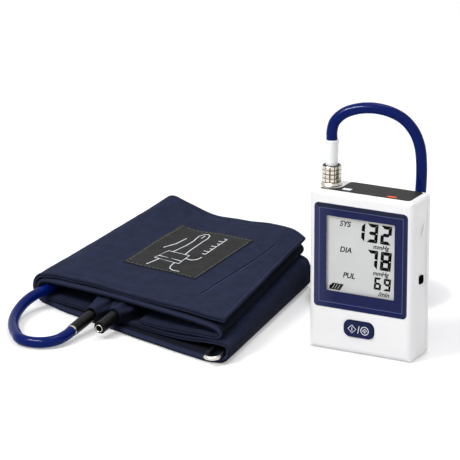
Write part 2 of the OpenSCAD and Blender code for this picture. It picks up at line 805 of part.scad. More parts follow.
// Exhaust valve: coil body with an inlet below and a plunger bore from above
module exhaust_valve() {
    color("black") difference() {
        union() {
            span([valve_x - valve_w/2, valve_y, valve_low],
                [valve_x + valve_w/2, valve_y + valve_w, valve_low + valve_h]);
            rod_z(stem_r, valve_x, socket_y, valve_low - 4, valve_low + 1);
        }
        rod_z(valve_plunger_r + shaft_gap, valve_x, valve_y + valve_w/2, valve_low + 3,
            valve_low + valve_h + 1);
        rod_z(0.8, valve_x, socket_y, valve_low - 5, valve_low + 2);
    }
}

// Plunger of the exhaust valve
module valve_plunger() {
    cap_z = valve_low + valve_h + valve_travel + 0.1;
    color("silver") {
        rod_z(valve_plunger_r, valve_x, valve_y + valve_w/2, valve_low + 3.2 + valve_travel, cap_z + eps);
        rod_z(valve_plunger_r + 0.9, valve_x, valve_y + valve_w/2, cap_z, cap_z + 0.8);
    }
}

// Pressure sensor on the board
module pressure_sensor() {
    color("black") difference() {
        union() {
            span([sensor_x, board_back_y + seat_gap, pipe_z - 4],
                [sensor_x + 8, socket_y + 3.2, pipe_z + 4]);
            rod_x(main_bore_r - 0.05, socket_y, pipe_z, sensor_x - 5, sensor_x + 1);
        }
        rod_x(0.7, socket_y, pipe_z, sensor_x - 6, sensor_x + 3);
    }
}

// Round sounder on the board
module beeper() {
    x = socket_x + 8;
    z = board_high - beeper_r - 0.4;
    color("black") difference() {
        rod_y(beeper_r, x, z, board_back_y + seat_gap, board_back_y + 3);
        rod_y(0.9, x, z, board_back_y + 2, board_back_y + 4);
    }
}

// Sliding battery cover with grip ribs outside and hooks inside
module battery_cover() {
    rib_h = 0.35;
    color("white") {
        difference() {
            upright(2*cover_x, cover_h, 1.2, 0, (cover_low + cover_top)/2, cover_in_y, cover_back_y);
            for (i = [0:4]) upright(16 - 2.4*i, 0.9, 0.4, 0, cover_low + 6 + 2*i,
                cover_back_y - rib_h, cover_back_y + 1);
        }
        for (side = [-1, 1], z = hook_zs) cover_hook(side, z + 0.2);
    }
}

// One hook of the cover: a stem and a toe that catches the rail from inside
module cover_hook(side, z) {
    stem_x = bay_x - rail_w - run_gap - 1;
    toe_x = bay_x - run_gap;
    toe_y = rail_y - run_gap - 1;
    for (box = [[[stem_x, toe_y], [stem_x + 1, cover_in_y + eps]],
        [[stem_x, toe_y], [toe_x, toe_y + 1]]]) {
        x0 = side > 0 ? box[0][0] : -box[1][0];
        x1 = side > 0 ? box[1][0] : -box[0][0];
        span([x0, box[0][1], z], [x1, box[1][1], z + hook_l]);
    }
}

// Two cells side by side, the lower one turned round
module battery_cells() {
    for (side = [-1, 1]) {
        z = cell_mid_z + side*cell_pitch/2;
        translate([0, cell_y, z]) rotate([0, side*90, 0]) translate([0, 0, -cell_l/2]) {
            color("darkslategrey") cylinder(d = cell_d, h = cell_l - 1.2);
            color("silver") cylinder(d = 5.4, h = cell_l);
        }
    }
}

// Point of a cone-shaped contact spring of length l at share t of its wire
function spring_point(t, l) = [(3.6 - 1.5*t)*cos(360*spring_turns*t),
    (3.6 - 1.5*t)*sin(360*spring_turns*t), spring_wire_r + (l - 2*spring_wire_r)*t];

// Cone springs at the negative ends of the cells
module battery_springs() {
    l = bay_x - cell_l/2 - 2*side_gap;
    n = spring_turns*spring_rings;
    points = [for (i = [0:n]) spring_point(i/n, l)];
    color("silver") for (side = [-1, 1]) {
        z = cell_mid_z + side*cell_pitch/2;
        translate([-side*(bay_x - side_gap), cell_y, z]) rotate([0, side*90, 0])
            tube(points, spring_wire_r, 6);
    }
}

// Flat contacts at the positive ends of the cells
module battery_plates() {
    color("silver") for (side = [-1, 1]) {
        z = cell_mid_z + side*cell_pitch/2;
        x = side*(cell_l/2 + side_gap);
        x1 = side*(bay_x - side_gap);
        span([min(x, x1), cell_y - 3.5, z - 3.5], [max(x, x1), cell_y + 3.5, z + 3.5]);
    }
}

// Point of a smooth curve through points, at step i and share t
function curve_point(p, i, t) =
    let (n = len(p), a = p[max(i - 1, 0)], b = p[i], c = p[min(i + 1, n - 1)], d = p[min(i + 2, n - 1)])
    0.5*(2*b + t*(c - a) + t*t*(2*a - 5*b + 4*c - d) + t*t*t*(3*b - a - 3*c + d));

// Points along the smooth curve, so many to each step
function curve(p, steps) = concat(
    [for (i = [0:len(p) - 2], k = [0:steps - 1]) curve_point(p, i, k/steps)], [p[len(p) - 1]]);

function unit(v) = v/norm(v);
function heading(p, i) = unit(p[min(i + 1, len(p) - 1)] - p[max(i - 1, 0)]);

// Side directions carried along a line of points without twist
function frames(p, i = 0, side = undef) =
    let (h = heading(p, i), guess = abs(h[2]) > 0.9 ? [0, 1, 0] : [0, 0, 1],
        s = is_undef(side) ? unit(cross(h, guess)) : unit(side - h*(side*h)))
    i == len(p) - 1 ? [s] : concat([s], frames(p, i + 1, s));

// Round tube along a line of points
module tube(p, r, sides) {
    f = frames(p);
    n = len(p);
    rings = [for (i = [0:n - 1], k = [0:sides - 1])
        let (a = 360*k/sides, h = heading(p, i))
        p[i] + r*(cos(a)*f[i] + sin(a)*cross(h, f[i]))];
    walls = [for (i = [0:n - 2], k = [0:sides - 1], half = [0, 1])
        let (a = i*sides + k, b = i*sides + (k + 1) % sides)
        half == 0 ? [a, a + sides, b] : [b, a + sides, b + sides]];
    low_end = [for (k = [1:sides - 2]) [0, k, k + 1]];
    high_end = [for (k = [1:sides - 2]) [(n - 1)*sides, (n - 1)*sides + k + 1, (n - 1)*sides + k]];
    polyhedron(points = rings, faces = concat(walls, low_end, high_end));
}

// Place on the cuff for a distance along the near edge, a share of the way to the far edge, a height
function direction(angle) = [cos(angle), sin(angle)];
function cuff_place(v, u, z) =
    let (near = cuff_corner + (cuff_near_w - v)*direction(near_angle),
        far = cuff_corner + cuff_l*direction(right_angle)
            + (1 - v/cuff_near_w)*cuff_far_w*direction(far_angle),
        flat = (1 - u)*near + u*far)
    [flat[0], flat[1], z];

// Point of the fold line at s, moved off it: outwards where off is positive
function fold_at(s, column, scale) =
    let (i = min(floor(s), len(fold_route) - 2), p = curve_point(fold_route, i, s - i))
    [p[0]*scale, p[column]];
function fold_offset(s, off, column, scale) =
    let (a = fold_at(max(s - 0.05, 0), column, scale),
        b = fold_at(min(s + 0.05, len(fold_route) - 1), column, scale), h = unit(b - a))
    fold_at(s, column, scale) + off*[h[1], -h[0]];
function band_point(s, u, off) =
    let (near = fold_offset(s, off, 1, near_scale), far = fold_offset(s, off, 2, far_scale))
    (1 - u)*cuff_place(near[0], 0, near[1]) + u*cuff_place(far[0]/far_scale*near_scale, 1, far[1]);

// Sheet that follows the folds from s[0] to s[1] and across the band from u[0] to u[1]
module folded_sheet(s, u, offs, n, m) {
    row = 2*(n + 1);
    points = [for (j = [0:m], face = [0, 1], i = [0:n])
        band_point(s[0] + (s[1] - s[0])*i/n, u[0] + (u[1] - u[0])*j/m, offs[face])];
    low = [for (j = [0:m - 1], i = [0:n - 1], half = [0, 1]) let (a = j*row + i)
        half == 0 ? [a, a + row, a + 1] : [a + 1, a + row, a + row + 1]];
    high = [for (j = [0:m - 1], i = [0:n - 1], half = [0, 1]) let (a = j*row + n + 1 + i)
        half == 0 ? [a, a + 1, a + row] : [a + 1, a + row + 1, a + row]];
    sides = [for (end = [0, 1], j = [0:m - 1], half = [0, 1])
        let (a = j*row + end*n, b = a + n + 1, near = half == 0 ? [a, a + row, b] : [b, a + row, b + row])
        end == 1 ? near : [near[0], near[2], near[1]]];
    edges = [for (end = [0, 1], i = [0:n - 1], half = [0, 1])
        let (a = end*m*row + i, b = a + n + 1, near = half == 0 ? [a, b, a + 1] : [a + 1, b, b + 1])
        end == 1 ? near : [near[0], near[2], near[1]]];
    polyhedron(points = points, faces = concat(low, high, sides, edges));
}

// Outer cloth of the folded cuff
module cuff_outer_cloth() {
    color("midnightblue") folded_sheet([0, fold_end], [0, 1], [band_t/2 - cloth_t, band_t/2],
        fold_end*fold_steps, fold_stations);
}

// Air bladder between the two cloths
module cuff_bladder() {
    t = band_t/2 - cloth_t - core_gap;
    color("dimgrey") folded_sheet([0.5, fold_end - 0.5], [core_inset, 1 - core_inset], [-t, t],
        (fold_end - 1)*fold_steps, fold_stations);
}

// Cloth that lies against the arm
module cuff_lining() {
    color("midnightblue") folded_sheet([0, fold_end], [0, 1], [-band_t/2, cloth_t - band_t/2],
        fold_end*fold_steps, fold_stations);
}

// Label sewn on the top fold
module cuff_label() {
    gap = 0.2;
    color("black") folded_sheet(label_s, label_u, [band_t/2 + gap, band_t/2 + gap + label_t], 6, 3);
}

// Long wire loop in the right fold, which the cuff's end runs round
module cuff_bar() {
    run = cuff_l + bar_over;
    near_end = 2 - bar_over;
    bar_z = 4.8;
    in_from_edge = bar_w/2 + 2.2;
    r = bar_w/2 - bar_wire_r;
    start = cuff_corner + in_from_edge*direction(near_angle) + near_end*direction(right_angle);
    color("silver") translate([start[0], start[1], bar_z]) rotate([0, 0, right_angle - 90]) {
        for (side = [-1, 1]) translate([side*r, r, 0]) rotate([-90, 0, 0])
            cylinder(r = bar_wire_r, h = run - 2*r);
        for (end = [0, 1]) translate([0, end == 0 ? r : run - r, 0]) rotate([0, 0, end == 0 ? 180 : 0])
            rotate_extrude(angle = 180) translate([r, 0]) circle(bar_wire_r);
    }
}

// Pose of a port at the cuff's near edge: its axis runs inwards and rises a little
module at_port(run, back) {
    base = cuff_corner + run*direction(near_angle);
    translate([base[0], base[1], port_z]) rotate([0, 0, -1.5]) rotate([-90 + port_slope, 0, 0])
        translate([0, 0, -back]) children();
}

// Black coupling on the cuff's hose
module hose_port() {
    color("black") at_port(hose_port_run, port_out) difference() {
        cylinder(r = port_r, h = port_l);
        translate([0, 0, 12]) cylinder(r = 1.2, h = port_l);
    }
}

// Pale ring where the hose meets its coupling
module hose_port_ring() {
    color("silver") at_port(hose_port_run, port_out + port_ring_l + stack_gap)
        cylinder(r = port_ring_r, h = port_ring_l);
}

// Cloth loop that holds the hose coupling at the cuff's edge
module hose_port_cloth() {
    color("midnightblue") at_port(hose_port_run, hose_cloth_l - cloth_sleeve_in)
        port_cloth(port_r, hose_cloth_l);
}

// Short cloth tube round a port
module port_cloth(r, l) {
    difference() {
        cylinder(r = r + cloth_wall, h = l);
        translate([0, 0, -1]) cylinder(r = r + 0.1, h = l + 2);
    }
}

// Second, open port beside it
module spare_port() {
    color("black") at_port(spare_port_run, spare_out) difference() {
        cylinder(r = spare_port_r, h = port_l);
        translate([0, 0, -1]) cylinder(r = port_bore_r, h = 13);
    }
}

// Metal ring at the spare port's mouth
module spare_port_ring() {
    color("silver") at_port(spare_port_run, spare_out + 1 + stack_gap) difference() {
        cylinder(r = spare_port_r, h = 1);
        translate([0, 0, -1]) cylinder(r = port_bore_r, h = 3);
    }
}

// Cloth loop round the spare port
module spare_port_cloth() {
    color("midnightblue") at_port(spare_port_run, spare_cloth_l - cloth_sleeve_in)
        port_cloth(spare_port_r, spare_cloth_l);
}

// Hose from the connector over the recorder and down behind it to its coil
arch_points = curve(arch_route, 1);
module hose_arch() {
    color("royalblue") tube(arch_points, hose_d/2, 10);
}

// Coil of the hose that lies behind: each turn lies on the one below and climbs off it at one side
function coil_climb(t) = floor(t) + min(max((t - floor(t) - 0.6)/0.25, 0), 1);
function coil_point(t) = [coil_centre[0] + coil_r*cos(360*t), coil_centre[1] + coil_r*sin(360*t),
    coil_rest + coil_layer*coil_climb(t)];
coil_rings = 24;
coil_points = [for (i = [0:coil_turns*coil_rings]) coil_point(i/coil_rings)];
coil_gap = min([for (i = [0:len(coil_points) - 1], k = [0:len(coil_points) - 1])
    if (k > i + coil_rings/2) norm(coil_points[i] - coil_points[k])]) - hose_d;
echo(coil_gap = coil_gap);
module hose_coil() {
    color("royalblue") tube(coil_points, hose_d/2, 6);
}

// Hose from its coil through the cuff's folds to the coupling
tail_points = curve(tail_route, 1);
module hose_tail() {
    color("royalblue") tube(tail_points, hose_d/2, 10);
}

front_case();
rear_case();
case_screws();
display_bezel();
display_window();
lcd_panel();
lcd_holder();
lcd_contact_strips();
main_board();
button_switch();
switch_plunger();
start_button();
top_plate();
data_socket();
air_socket();
socket_nut();
socket_seal();
plug_nipple();
plug_collar();
plug_sleeve();
air_pipes();
pump_motor();
pump_rotor();
pump_head();
exhaust_valve();
valve_plunger();
pressure_sensor();
beeper();
battery_cover();
battery_cells();
battery_springs();
battery_plates();
cuff_outer_cloth();
cuff_bladder();
cuff_lining();
cuff_label();
cuff_bar();
hose_port();
hose_port_ring();
hose_port_cloth();
spare_port();
spare_port_ring();
spare_port_cloth();
hose_arch();
hose_coil();
hose_tail();
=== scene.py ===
"""Ambulatory blood pressure recorder, its folded arm cuff and its air hose, dressed over their CAD frame."""

import logging
import math
from collections.abc import Callable, Iterable, Sequence
from dataclasses import dataclass
from enum import Enum

import bmesh
import bpy
from mathutils import Matrix, Vector


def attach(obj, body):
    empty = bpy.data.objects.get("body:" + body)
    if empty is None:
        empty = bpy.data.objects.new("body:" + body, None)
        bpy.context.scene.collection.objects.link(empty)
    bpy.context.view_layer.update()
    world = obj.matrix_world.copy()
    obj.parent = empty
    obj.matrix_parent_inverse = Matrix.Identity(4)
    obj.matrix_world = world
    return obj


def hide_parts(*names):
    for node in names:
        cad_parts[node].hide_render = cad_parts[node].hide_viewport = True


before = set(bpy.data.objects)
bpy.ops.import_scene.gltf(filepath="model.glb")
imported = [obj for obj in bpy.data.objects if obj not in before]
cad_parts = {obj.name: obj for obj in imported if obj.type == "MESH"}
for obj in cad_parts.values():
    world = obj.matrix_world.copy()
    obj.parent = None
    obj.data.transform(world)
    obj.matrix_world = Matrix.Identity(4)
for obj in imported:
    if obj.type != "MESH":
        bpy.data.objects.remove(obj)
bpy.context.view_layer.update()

LOG = logging.getLogger("recorder")
MM = 0.001
CENTRE = (0.0, 0.0, 0.0)

Color = tuple[float, float, float]
Point = tuple[float, float, float]
Flat = tuple[float, float]
Stroke = tuple[Sequence[Sequence[float]], bool]


class Body(Enum):
    """The bodies that new pieces ride on."""

    MONITOR = "monitor"
    KEY = "start_button"


class Slot(Enum):
    """Names of material slots; no piece in this script takes its finish from them."""

    CASE = "case_white"
    BUTTON = "button_blue"
    GLASS = "display_glass"
    PLATE = "dark_plate"
    METAL = "bright_metal"
    CLOTH = "cuff_cloth"
    BLADDER = "bladder_rubber"
    LABEL = "label_cloth"
    HOSE = "hose_blue"
    BLACK = "black_plastic"


def tint(code: str) -> Color:
    """Turns a six-digit colour code into linear red, green and blue, by the sRGB formula.

    Args:
        code: the colour as it looks on screen, such as "1b2350".

    Returns:
        The colour as shader sockets take it.
    """
    parts = [int(code[i : i + 2], 16) / 255 for i in (0, 2, 4)]
    return tuple(c / 12.92 if c <= 0.04045 else ((c + 0.055) / 1.055) ** 2.4 for c in parts)


# Shader benches and shared groups


class NodeBench:
    """Places nodes in one tree and joins them."""

    def __init__(self, tree: bpy.types.NodeTree) -> None:
        """Keeps the tree that nodes are added to."""
        self.tree = tree

    def feed(self, node: bpy.types.Node, inputs: dict[str | int, object]) -> None:
        """Feeds a node's inputs.

        Args:
            node: the node.
            inputs: socket names or numbers, each with a socket to join or a plain value.
        """
        for key, value in inputs.items():
            if isinstance(value, bpy.types.NodeSocket):
                self.tree.links.new(value, node.inputs[key])
            else:
                node.inputs[key].default_value = value

    def add(self, kind: str, inputs: dict[str | int, object] | None = None,
            **settings: object) -> bpy.types.Node:
        """Adds a node, sets it up and feeds its inputs.

        Args:
            kind: the node's type name.
            inputs: what feed takes.
            **settings: attributes of the node.

        Returns:
            The new node.
        """
        node = self.tree.nodes.new(kind)
        for name, value in settings.items():
            setattr(node, name, value)
        self.feed(node, inputs or {})
        return node

    def group(self, build: Callable[[str], bpy.types.NodeTree],
              inputs: dict[str | int, object]) -> bpy.types.NodeOutputs:
        """Places a shared group, which is built the first time it is asked for.

        Args:
            build: the function that makes the group under the function's own name.
            inputs: what feed takes.

        Returns:
            The group's outputs.
        """
        name = build.__name__
        tree = bpy.data.node_groups.get(name) or build(name)
        return self.add("ShaderNodeGroup", inputs, node_tree=tree).outputs

    def coordinate(self, kind: str) -> bpy.types.NodeSocket:
        """Returns a texture coordinate: Object, Normal or UV."""
        return self.add("ShaderNodeTexCoord").outputs[kind]

    def split(self, vector: bpy.types.NodeSocket) -> bpy.types.NodeOutputs:
        """Returns a vector's X, Y and Z."""
        return self.add("ShaderNodeSeparateXYZ", {0: vector}).outputs

    def math(self, operation: str, *values: object) -> bpy.types.NodeSocket:
        """Returns a Math node's result on sockets or numbers."""
        return self.add("ShaderNodeMath", dict(enumerate(values)), operation=operation).outputs[0]

    def noise(self, place: bpy.types.NodeSocket, scale: object, detail: float,
              roughness: float = 0.5) -> bpy.types.NodeSocket:
        """Returns a noise pattern's value on coordinates."""
        inputs = {"Vector": place, "Scale": scale, "Detail": detail, "Roughness": roughness}
        return self.add("ShaderNodeTexNoise", inputs).outputs[0]

    def bump(self, height: bpy.types.NodeSocket, distance: object, strength: float) -> bpy.types.NodeSocket:
        """Returns the normal of a relief."""
        inputs = {"Height": height, "Distance": distance, "Strength": strength}
        return self.add("ShaderNodeBump", inputs).outputs[0]

    def ramp(self, value: bpy.types.NodeSocket, start: float, end: float, low: float = 0.0,
             high: float = 1.0) -> bpy.types.NodeSocket:
        """Returns what runs from low to high while a value runs from start to end."""
        inputs = {"Value": value, "From Min": start, "From Max": end, "To Min": low, "To Max": high}
        return self.add("ShaderNodeMapRange", inputs).outputs[0]

    def mix(self, share: bpy.types.NodeSocket, color: object, other: object) -> bpy.types.NodeSocket:
        """Mixes two colours.

        Args:
            share: how much the other colour counts.
            color: a socket, or a colour as tint gives it.
            other: a socket, or a colour as tint gives it.

        Returns:
            The mixed colour.
        """
        inputs = {0: share}
        for number, value in ((6, color), (7, other)):
            inputs[number] = value if isinstance(value, bpy.types.NodeSocket) else (*value, 1.0)
        return self.add("ShaderNodeMix", inputs, data_type="RGBA").outputs[2]


def new_group(name: str, inputs: Sequence[tuple[str, str]], outputs: Sequence[tuple[str, str]]) -> tuple:
    """Starts a shader node group with named sockets.

    Args:
        name: the group's name.
        inputs: names and socket types that go in.
        outputs: names and socket types that come out.

    Returns:
        The group, a bench on it, what goes in, and its output node.
    """
    group = bpy.data.node_groups.new(name, "ShaderNodeTree")
    for rows, way in ((inputs, "INPUT"), (outputs, "OUTPUT")):
        for label, kind in rows:
            group.interface.new_socket(label, in_out=way, socket_type="NodeSocket" + kind)
    bench = NodeBench(group)
    return group, bench, bench.add("NodeGroupInput").outputs, bench.add("NodeGroupOutput")


def moulded_grain(name: str) -> bpy.types.NodeTree:
    """Builds the group for moulded and cast surfaces: slow tone patches, fine grain, uneven gloss.

    Args:
        name: the group's name.

    Returns:
        The group, with outputs Color, Roughness and Normal.
    """
    numbers = [(label, "Float") for label in ("Patches", "Grain", "Relief", "Roughness", "Spread")]
    group, bench, given, out = new_group(
        name,
        [("Place", "Vector"), ("Color", "Color"), ("Tone", "Color"), *numbers],
        [("Color", "Color"), ("Roughness", "Float"), ("Normal", "Vector")],
    )
    patch = bench.noise(given["Place"], given["Patches"], 3.0, 0.55)
    grain = bench.noise(given["Place"], given["Grain"], 2.0)
    off_middle = bench.math("SUBTRACT", patch, 0.5)
    bench.feed(out, {
        "Color": bench.mix(patch, given["Color"], given["Tone"]),
        "Roughness": bench.math("MULTIPLY_ADD", off_middle, given["Spread"], given["Roughness"]),
        "Normal": bench.bump(grain, given["Relief"], 0.6),
    })
    return group


def brushed_lines(name: str) -> bpy.types.NodeTree:
    """Builds the group for turned and drawn metal: fine lines along one direction.

    Args:
        name: the group's name.

    Returns:
        The group, with outputs Mask and Normal.
    """
    stretch = (60.0, 60.0, 2200.0)
    group, bench, given, out = new_group(
        name,
        [("Place", "Vector"), ("Lines", "Float"), ("Relief", "Float")],
        [("Mask", "Float"), ("Normal", "Vector")],
    )
    stretched = bench.add("ShaderNodeMapping", {"Vector": given["Place"], "Scale": stretch})
    lines = bench.noise(stretched.outputs[0], given["Lines"], 2.0)
    bench.feed(out, {"Mask": lines, "Normal": bench.bump(lines, given["Relief"], 0.5)})
    return group


def twill_weave(name: str) -> bpy.types.NodeTree:
    """Builds the group for woven cloth, on coordinates in metres along the cloth.

    Args:
        name: the group's name.

    Returns:
        The group, with outputs Threads, Fuzz and Normal.
    """
    group, bench, given, out = new_group(
        name,
        [("Place", "Vector"), ("Pitch", "Float"), ("Relief", "Float"), ("Nap", "Float")],
        [("Threads", "Float"), ("Fuzz", "Float"), ("Normal", "Vector")],
    )
    parts = bench.split(given["Place"])
    warp, weft = (bench.math("DIVIDE", parts[i], given["Pitch"]) for i in (0, 1))
    ribs = bench.math("SINE", bench.math("MULTIPLY", bench.math("ADD", warp, weft), 2 * math.pi))
    cross = bench.math("SINE", bench.math("MULTIPLY", bench.math("SUBTRACT", warp, weft), 4 * math.pi))
    threads = bench.math("MULTIPLY_ADD", ribs, 0.34, bench.math("MULTIPLY_ADD", cross, 0.14, 0.5))
    fuzz = bench.noise(given["Place"], given["Nap"], 4.0, 0.65)
    height = bench.math("MULTIPLY_ADD", fuzz, 0.5, threads)
    bench.feed(out, {"Threads": threads, "Fuzz": fuzz, "Normal": bench.bump(height, given["Relief"], 0.7)})
    return group


def start_material(name: str) -> tuple[bpy.types.Material, NodeBench, bpy.types.Node]:
    """Starts a node material.

    Args:
        name: the material's name.

    Returns:
        The material, a bench on its tree, and its shader.
    """
    material = bpy.data.materials.new(name)
    material.use_nodes = True
    return material, NodeBench(material.node_tree), material.node_tree.nodes["Principled BSDF"]


# Finishes


@dataclass(frozen=True)
class Moulded:
    """Plastic, rubber or ink with a fine grain and an uneven gloss. Its two colours are colour codes."""

    name: str
    color: str
    tone: str
    roughness: float = 0.42
    spread: float = 0.08
    coat: float = 0.0
    coat_roughness: float = 0.08
    specular: float = 0.5
    transmission: float = 0.0
    alpha: float = 1.0
    subsurface: float = 0.0
    subsurface_depth: float = 0.0012
    patches: float = 28.0
    grain: float = 2600.0
    relief: float = 0.00003

    def build(self) -> bpy.types.Material:
        """Makes the material.

        Returns:
            The finished material.
        """
        material, bench, shader = start_material(self.name)
        group = bench.group(moulded_grain, {
            "Place": bench.coordinate("Object"), "Color": (*tint(self.color), 1.0),
            "Tone": (*tint(self.tone), 1.0), "Patches": self.patches, "Grain": self.grain,
            "Relief": self.relief, "Roughness": self.roughness, "Spread": self.spread,
        })
        bench.feed(shader, {
            "Base Color": self.toned(bench, group["Color"]), "Roughness": group["Roughness"],
            "Normal": group["Normal"], "Coat Weight": self.coat, "Coat Roughness": self.coat_roughness,
            "Specular IOR Level": self.specular, "Transmission Weight": self.transmission,
            "Alpha": self.alpha, "Subsurface Weight": self.subsurface,
        })
        if self.subsurface:
            bench.feed(shader, {"Subsurface Radius": (self.subsurface_depth,) * 3, "Subsurface Scale": 1.0})
        return material

    def toned(self, bench: NodeBench, color: bpy.types.NodeSocket) -> bpy.types.NodeSocket:
        """Gives the colour that goes into the shader; a plain moulding keeps its own."""
        return color


@dataclass(frozen=True)
class SlopedFrame(Moulded):
    """Glossy frame whose slopes carry painted light and shade by the way they face, with a paler painted left
    part and a painted highlight line round its flat field.
    """

    # Painted light: lit is the painted lit tone, deep the painted shade tone, line the colour of the painted
    # highlight line round the field.
    lit: Color = (0.03, 0.035, 0.1)
    deep: Color = (0.002, 0.005, 0.028)
    line: Color = (0.09, 0.11, 0.26)
    half_w: float = 0.02615
    half_h: float = 0.0279
    centre_z: float = 0.0566
    painted_highlight_w: float = 0.0003
    painted_light_from: float = -0.016
    painted_light_to: float = -0.034

    def toned(self, bench: NodeBench, color: bpy.types.NodeSocket) -> bpy.types.NodeSocket:
        """Paints light and shade on the slopes by the way they face, paints the left part paler, and paints a
        highlight line round the flat field.

        Args:
            bench: the bench on the material's tree.
            color: the moulding's own colour.

        Returns:
            The colour with painted light, shade and highlight.
        """
        way = bench.split(bench.coordinate("Normal"))
        spot = bench.split(bench.coordinate("Object"))
        # Painted light and shade: the left part paler, slopes facing right lit, slopes facing left or down in
        # shade.
        for socket, start, end, tone in (
            (spot[0], self.painted_light_from, self.painted_light_to, self.lit),
            (way[0], 0.1, 0.3, self.lit),
            (way[0], -0.1, -0.5, self.deep),
            (way[2], -0.1, -0.3, self.deep),
        ):
            color = bench.mix(bench.ramp(socket, start, end), color, tone)
        # Painted highlight: a thin light line round the flat field.
        aside = bench.math("SUBTRACT", bench.math("ABSOLUTE", spot[0]), self.half_w)
        from_middle = bench.math("ABSOLUTE", bench.math("SUBTRACT", spot[2], self.centre_z))
        above = bench.math("SUBTRACT", from_middle, self.half_h)
        off = bench.math("ABSOLUTE", bench.math("MAXIMUM", aside, above))
        return bench.mix(bench.ramp(off, self.painted_highlight_w, 0.0), color, self.line)


@dataclass(frozen=True)
class TurnedMetal:
    """Plated metal with fine turning or drawing lines. Its two colours are colour codes."""

    name: str
    color: str
    shade: str
    roughness: float = 0.22
    lines: float = 1.0
    relief: float = 0.00002

    def build(self) -> bpy.types.Material:
        """Makes the material.

        Returns:
            The finished material.
        """
        material, bench, shader = start_material(self.name)
        place = bench.coordinate("Object")
        group = bench.group(brushed_lines, {"Place": place, "Lines": self.lines, "Relief": self.relief})
        lined = bench.mix(group["Mask"], tint(self.color), tint(self.shade))
        bench.feed(shader, {
            "Base Color": self.toned(bench, lined),
            "Roughness": bench.math("MULTIPLY_ADD", group["Mask"], 0.16, self.roughness - 0.06),
            "Normal": group["Normal"],
            "Metallic": 1.0,
        })
        return material

    def toned(self, bench: NodeBench, color: bpy.types.NodeSocket) -> bpy.types.NodeSocket:
        """Gives the colour that goes into the shader; plain metal keeps its own."""
        return color


@dataclass(frozen=True)
class KnurledMetal(TurnedMetal):
    """Turned metal whose knurl grooves are painted dark as shade."""

    axis: Flat = (-0.024, -0.001)
    floor_r: float = 0.00508
    crest_r: float = 0.0054
    # Painted shade for the knurl grooves.
    groove_painted_shade: Color = (0.012, 0.011, 0.01)

    def toned(self, bench: NodeBench, color: bpy.types.NodeSocket) -> bpy.types.NodeSocket:
        """Paints shade on what lies deeper than the knurl's crests.

        Args:
            bench: the bench on the material's tree.
            color: the metal's own colour.

        Returns:
            The colour with painted shade in the grooves.
        """
        centred = bench.add("ShaderNodeMapping", {
            "Vector": bench.coordinate("Object"), "Location": (-self.axis[0], -self.axis[1], 0.0),
            "Scale": (1.0, 1.0, 0.0),
        })
        radius = bench.add("ShaderNodeVectorMath", {0: centred.outputs[0]}, operation="LENGTH").outputs
        return bench.mix(bench.ramp(radius["Value"], self.floor_r, self.crest_r), self.groove_painted_shade, color)


@dataclass(frozen=True)
class Woven:
    """Woven cloth with twill lines, a soft nap, slow changes of tone, and painted light that makes faces
    pointing up lighter. Its colours are colour codes.
    """

    name: str
    color: str
    # light: the colour that weave and nap reach on faces that point up; this lightening of the tops is
    # painted light.
    light: str
    pitch: float = 0.0009
    relief: float = 0.00012
    nap: float = 700.0
    roughness: float = 0.88
    sheen: float = 0.06
    sheen_tint: Color = (0.42, 0.5, 0.9)
    sheen_roughness: float = 0.4
    specular: float = 0.06
    patches: float = 120.0
    hem: str | None = None
    hem_w: float = 0.006
    band: float = 0.146

    def build(self) -> bpy.types.Material:
        """Makes the material.

        Returns:
            The finished material.
        """
        material, bench, shader = start_material(self.name)
        cloth = bench.coordinate("UV")
        group = bench.group(twill_weave, {"Place": cloth, "Pitch": self.pitch, "Relief": self.relief,
                                          "Nap": self.nap})
        patch = bench.noise(cloth, self.patches, 5.0, 0.6)
        fuzz = bench.math("MULTIPLY_ADD", group["Fuzz"], 0.9, -0.36)
        worn = bench.math("MULTIPLY_ADD", patch, 1.1, fuzz)
        nap = bench.math("MULTIPLY", worn, bench.math("MULTIPLY_ADD", group["Threads"], 0.9, 0.25))
        # Painted light: faces that point up are painted lighter, sides and undersides keep the dark colour.
        painted_top_light = bench.ramp(bench.split(bench.coordinate("Normal"))[2], 0.1, 0.95)
        color = bench.mix(bench.math("MULTIPLY", nap, painted_top_light), tint(self.color), tint(self.light))
        if self.hem:
            across = bench.split(cloth)[1]
            from_middle = bench.math("ABSOLUTE", bench.math("SUBTRACT", across, self.band / 2))
            turned = bench.math("GREATER_THAN", from_middle, self.band / 2 - self.hem_w)
            color = bench.mix(turned, color, tint(self.hem))
        bench.feed(shader, {
            "Base Color": color,
            "Roughness": bench.math("MULTIPLY_ADD", group["Fuzz"], 0.12, self.roughness - 0.06),
            "Normal": group["Normal"],
            "Sheen Weight": self.sheen,
            "Sheen Tint": (*self.sheen_tint, 1.0),
            "Sheen Roughness": self.sheen_roughness,
            "Specular IOR Level": self.specular,
        })
        return material


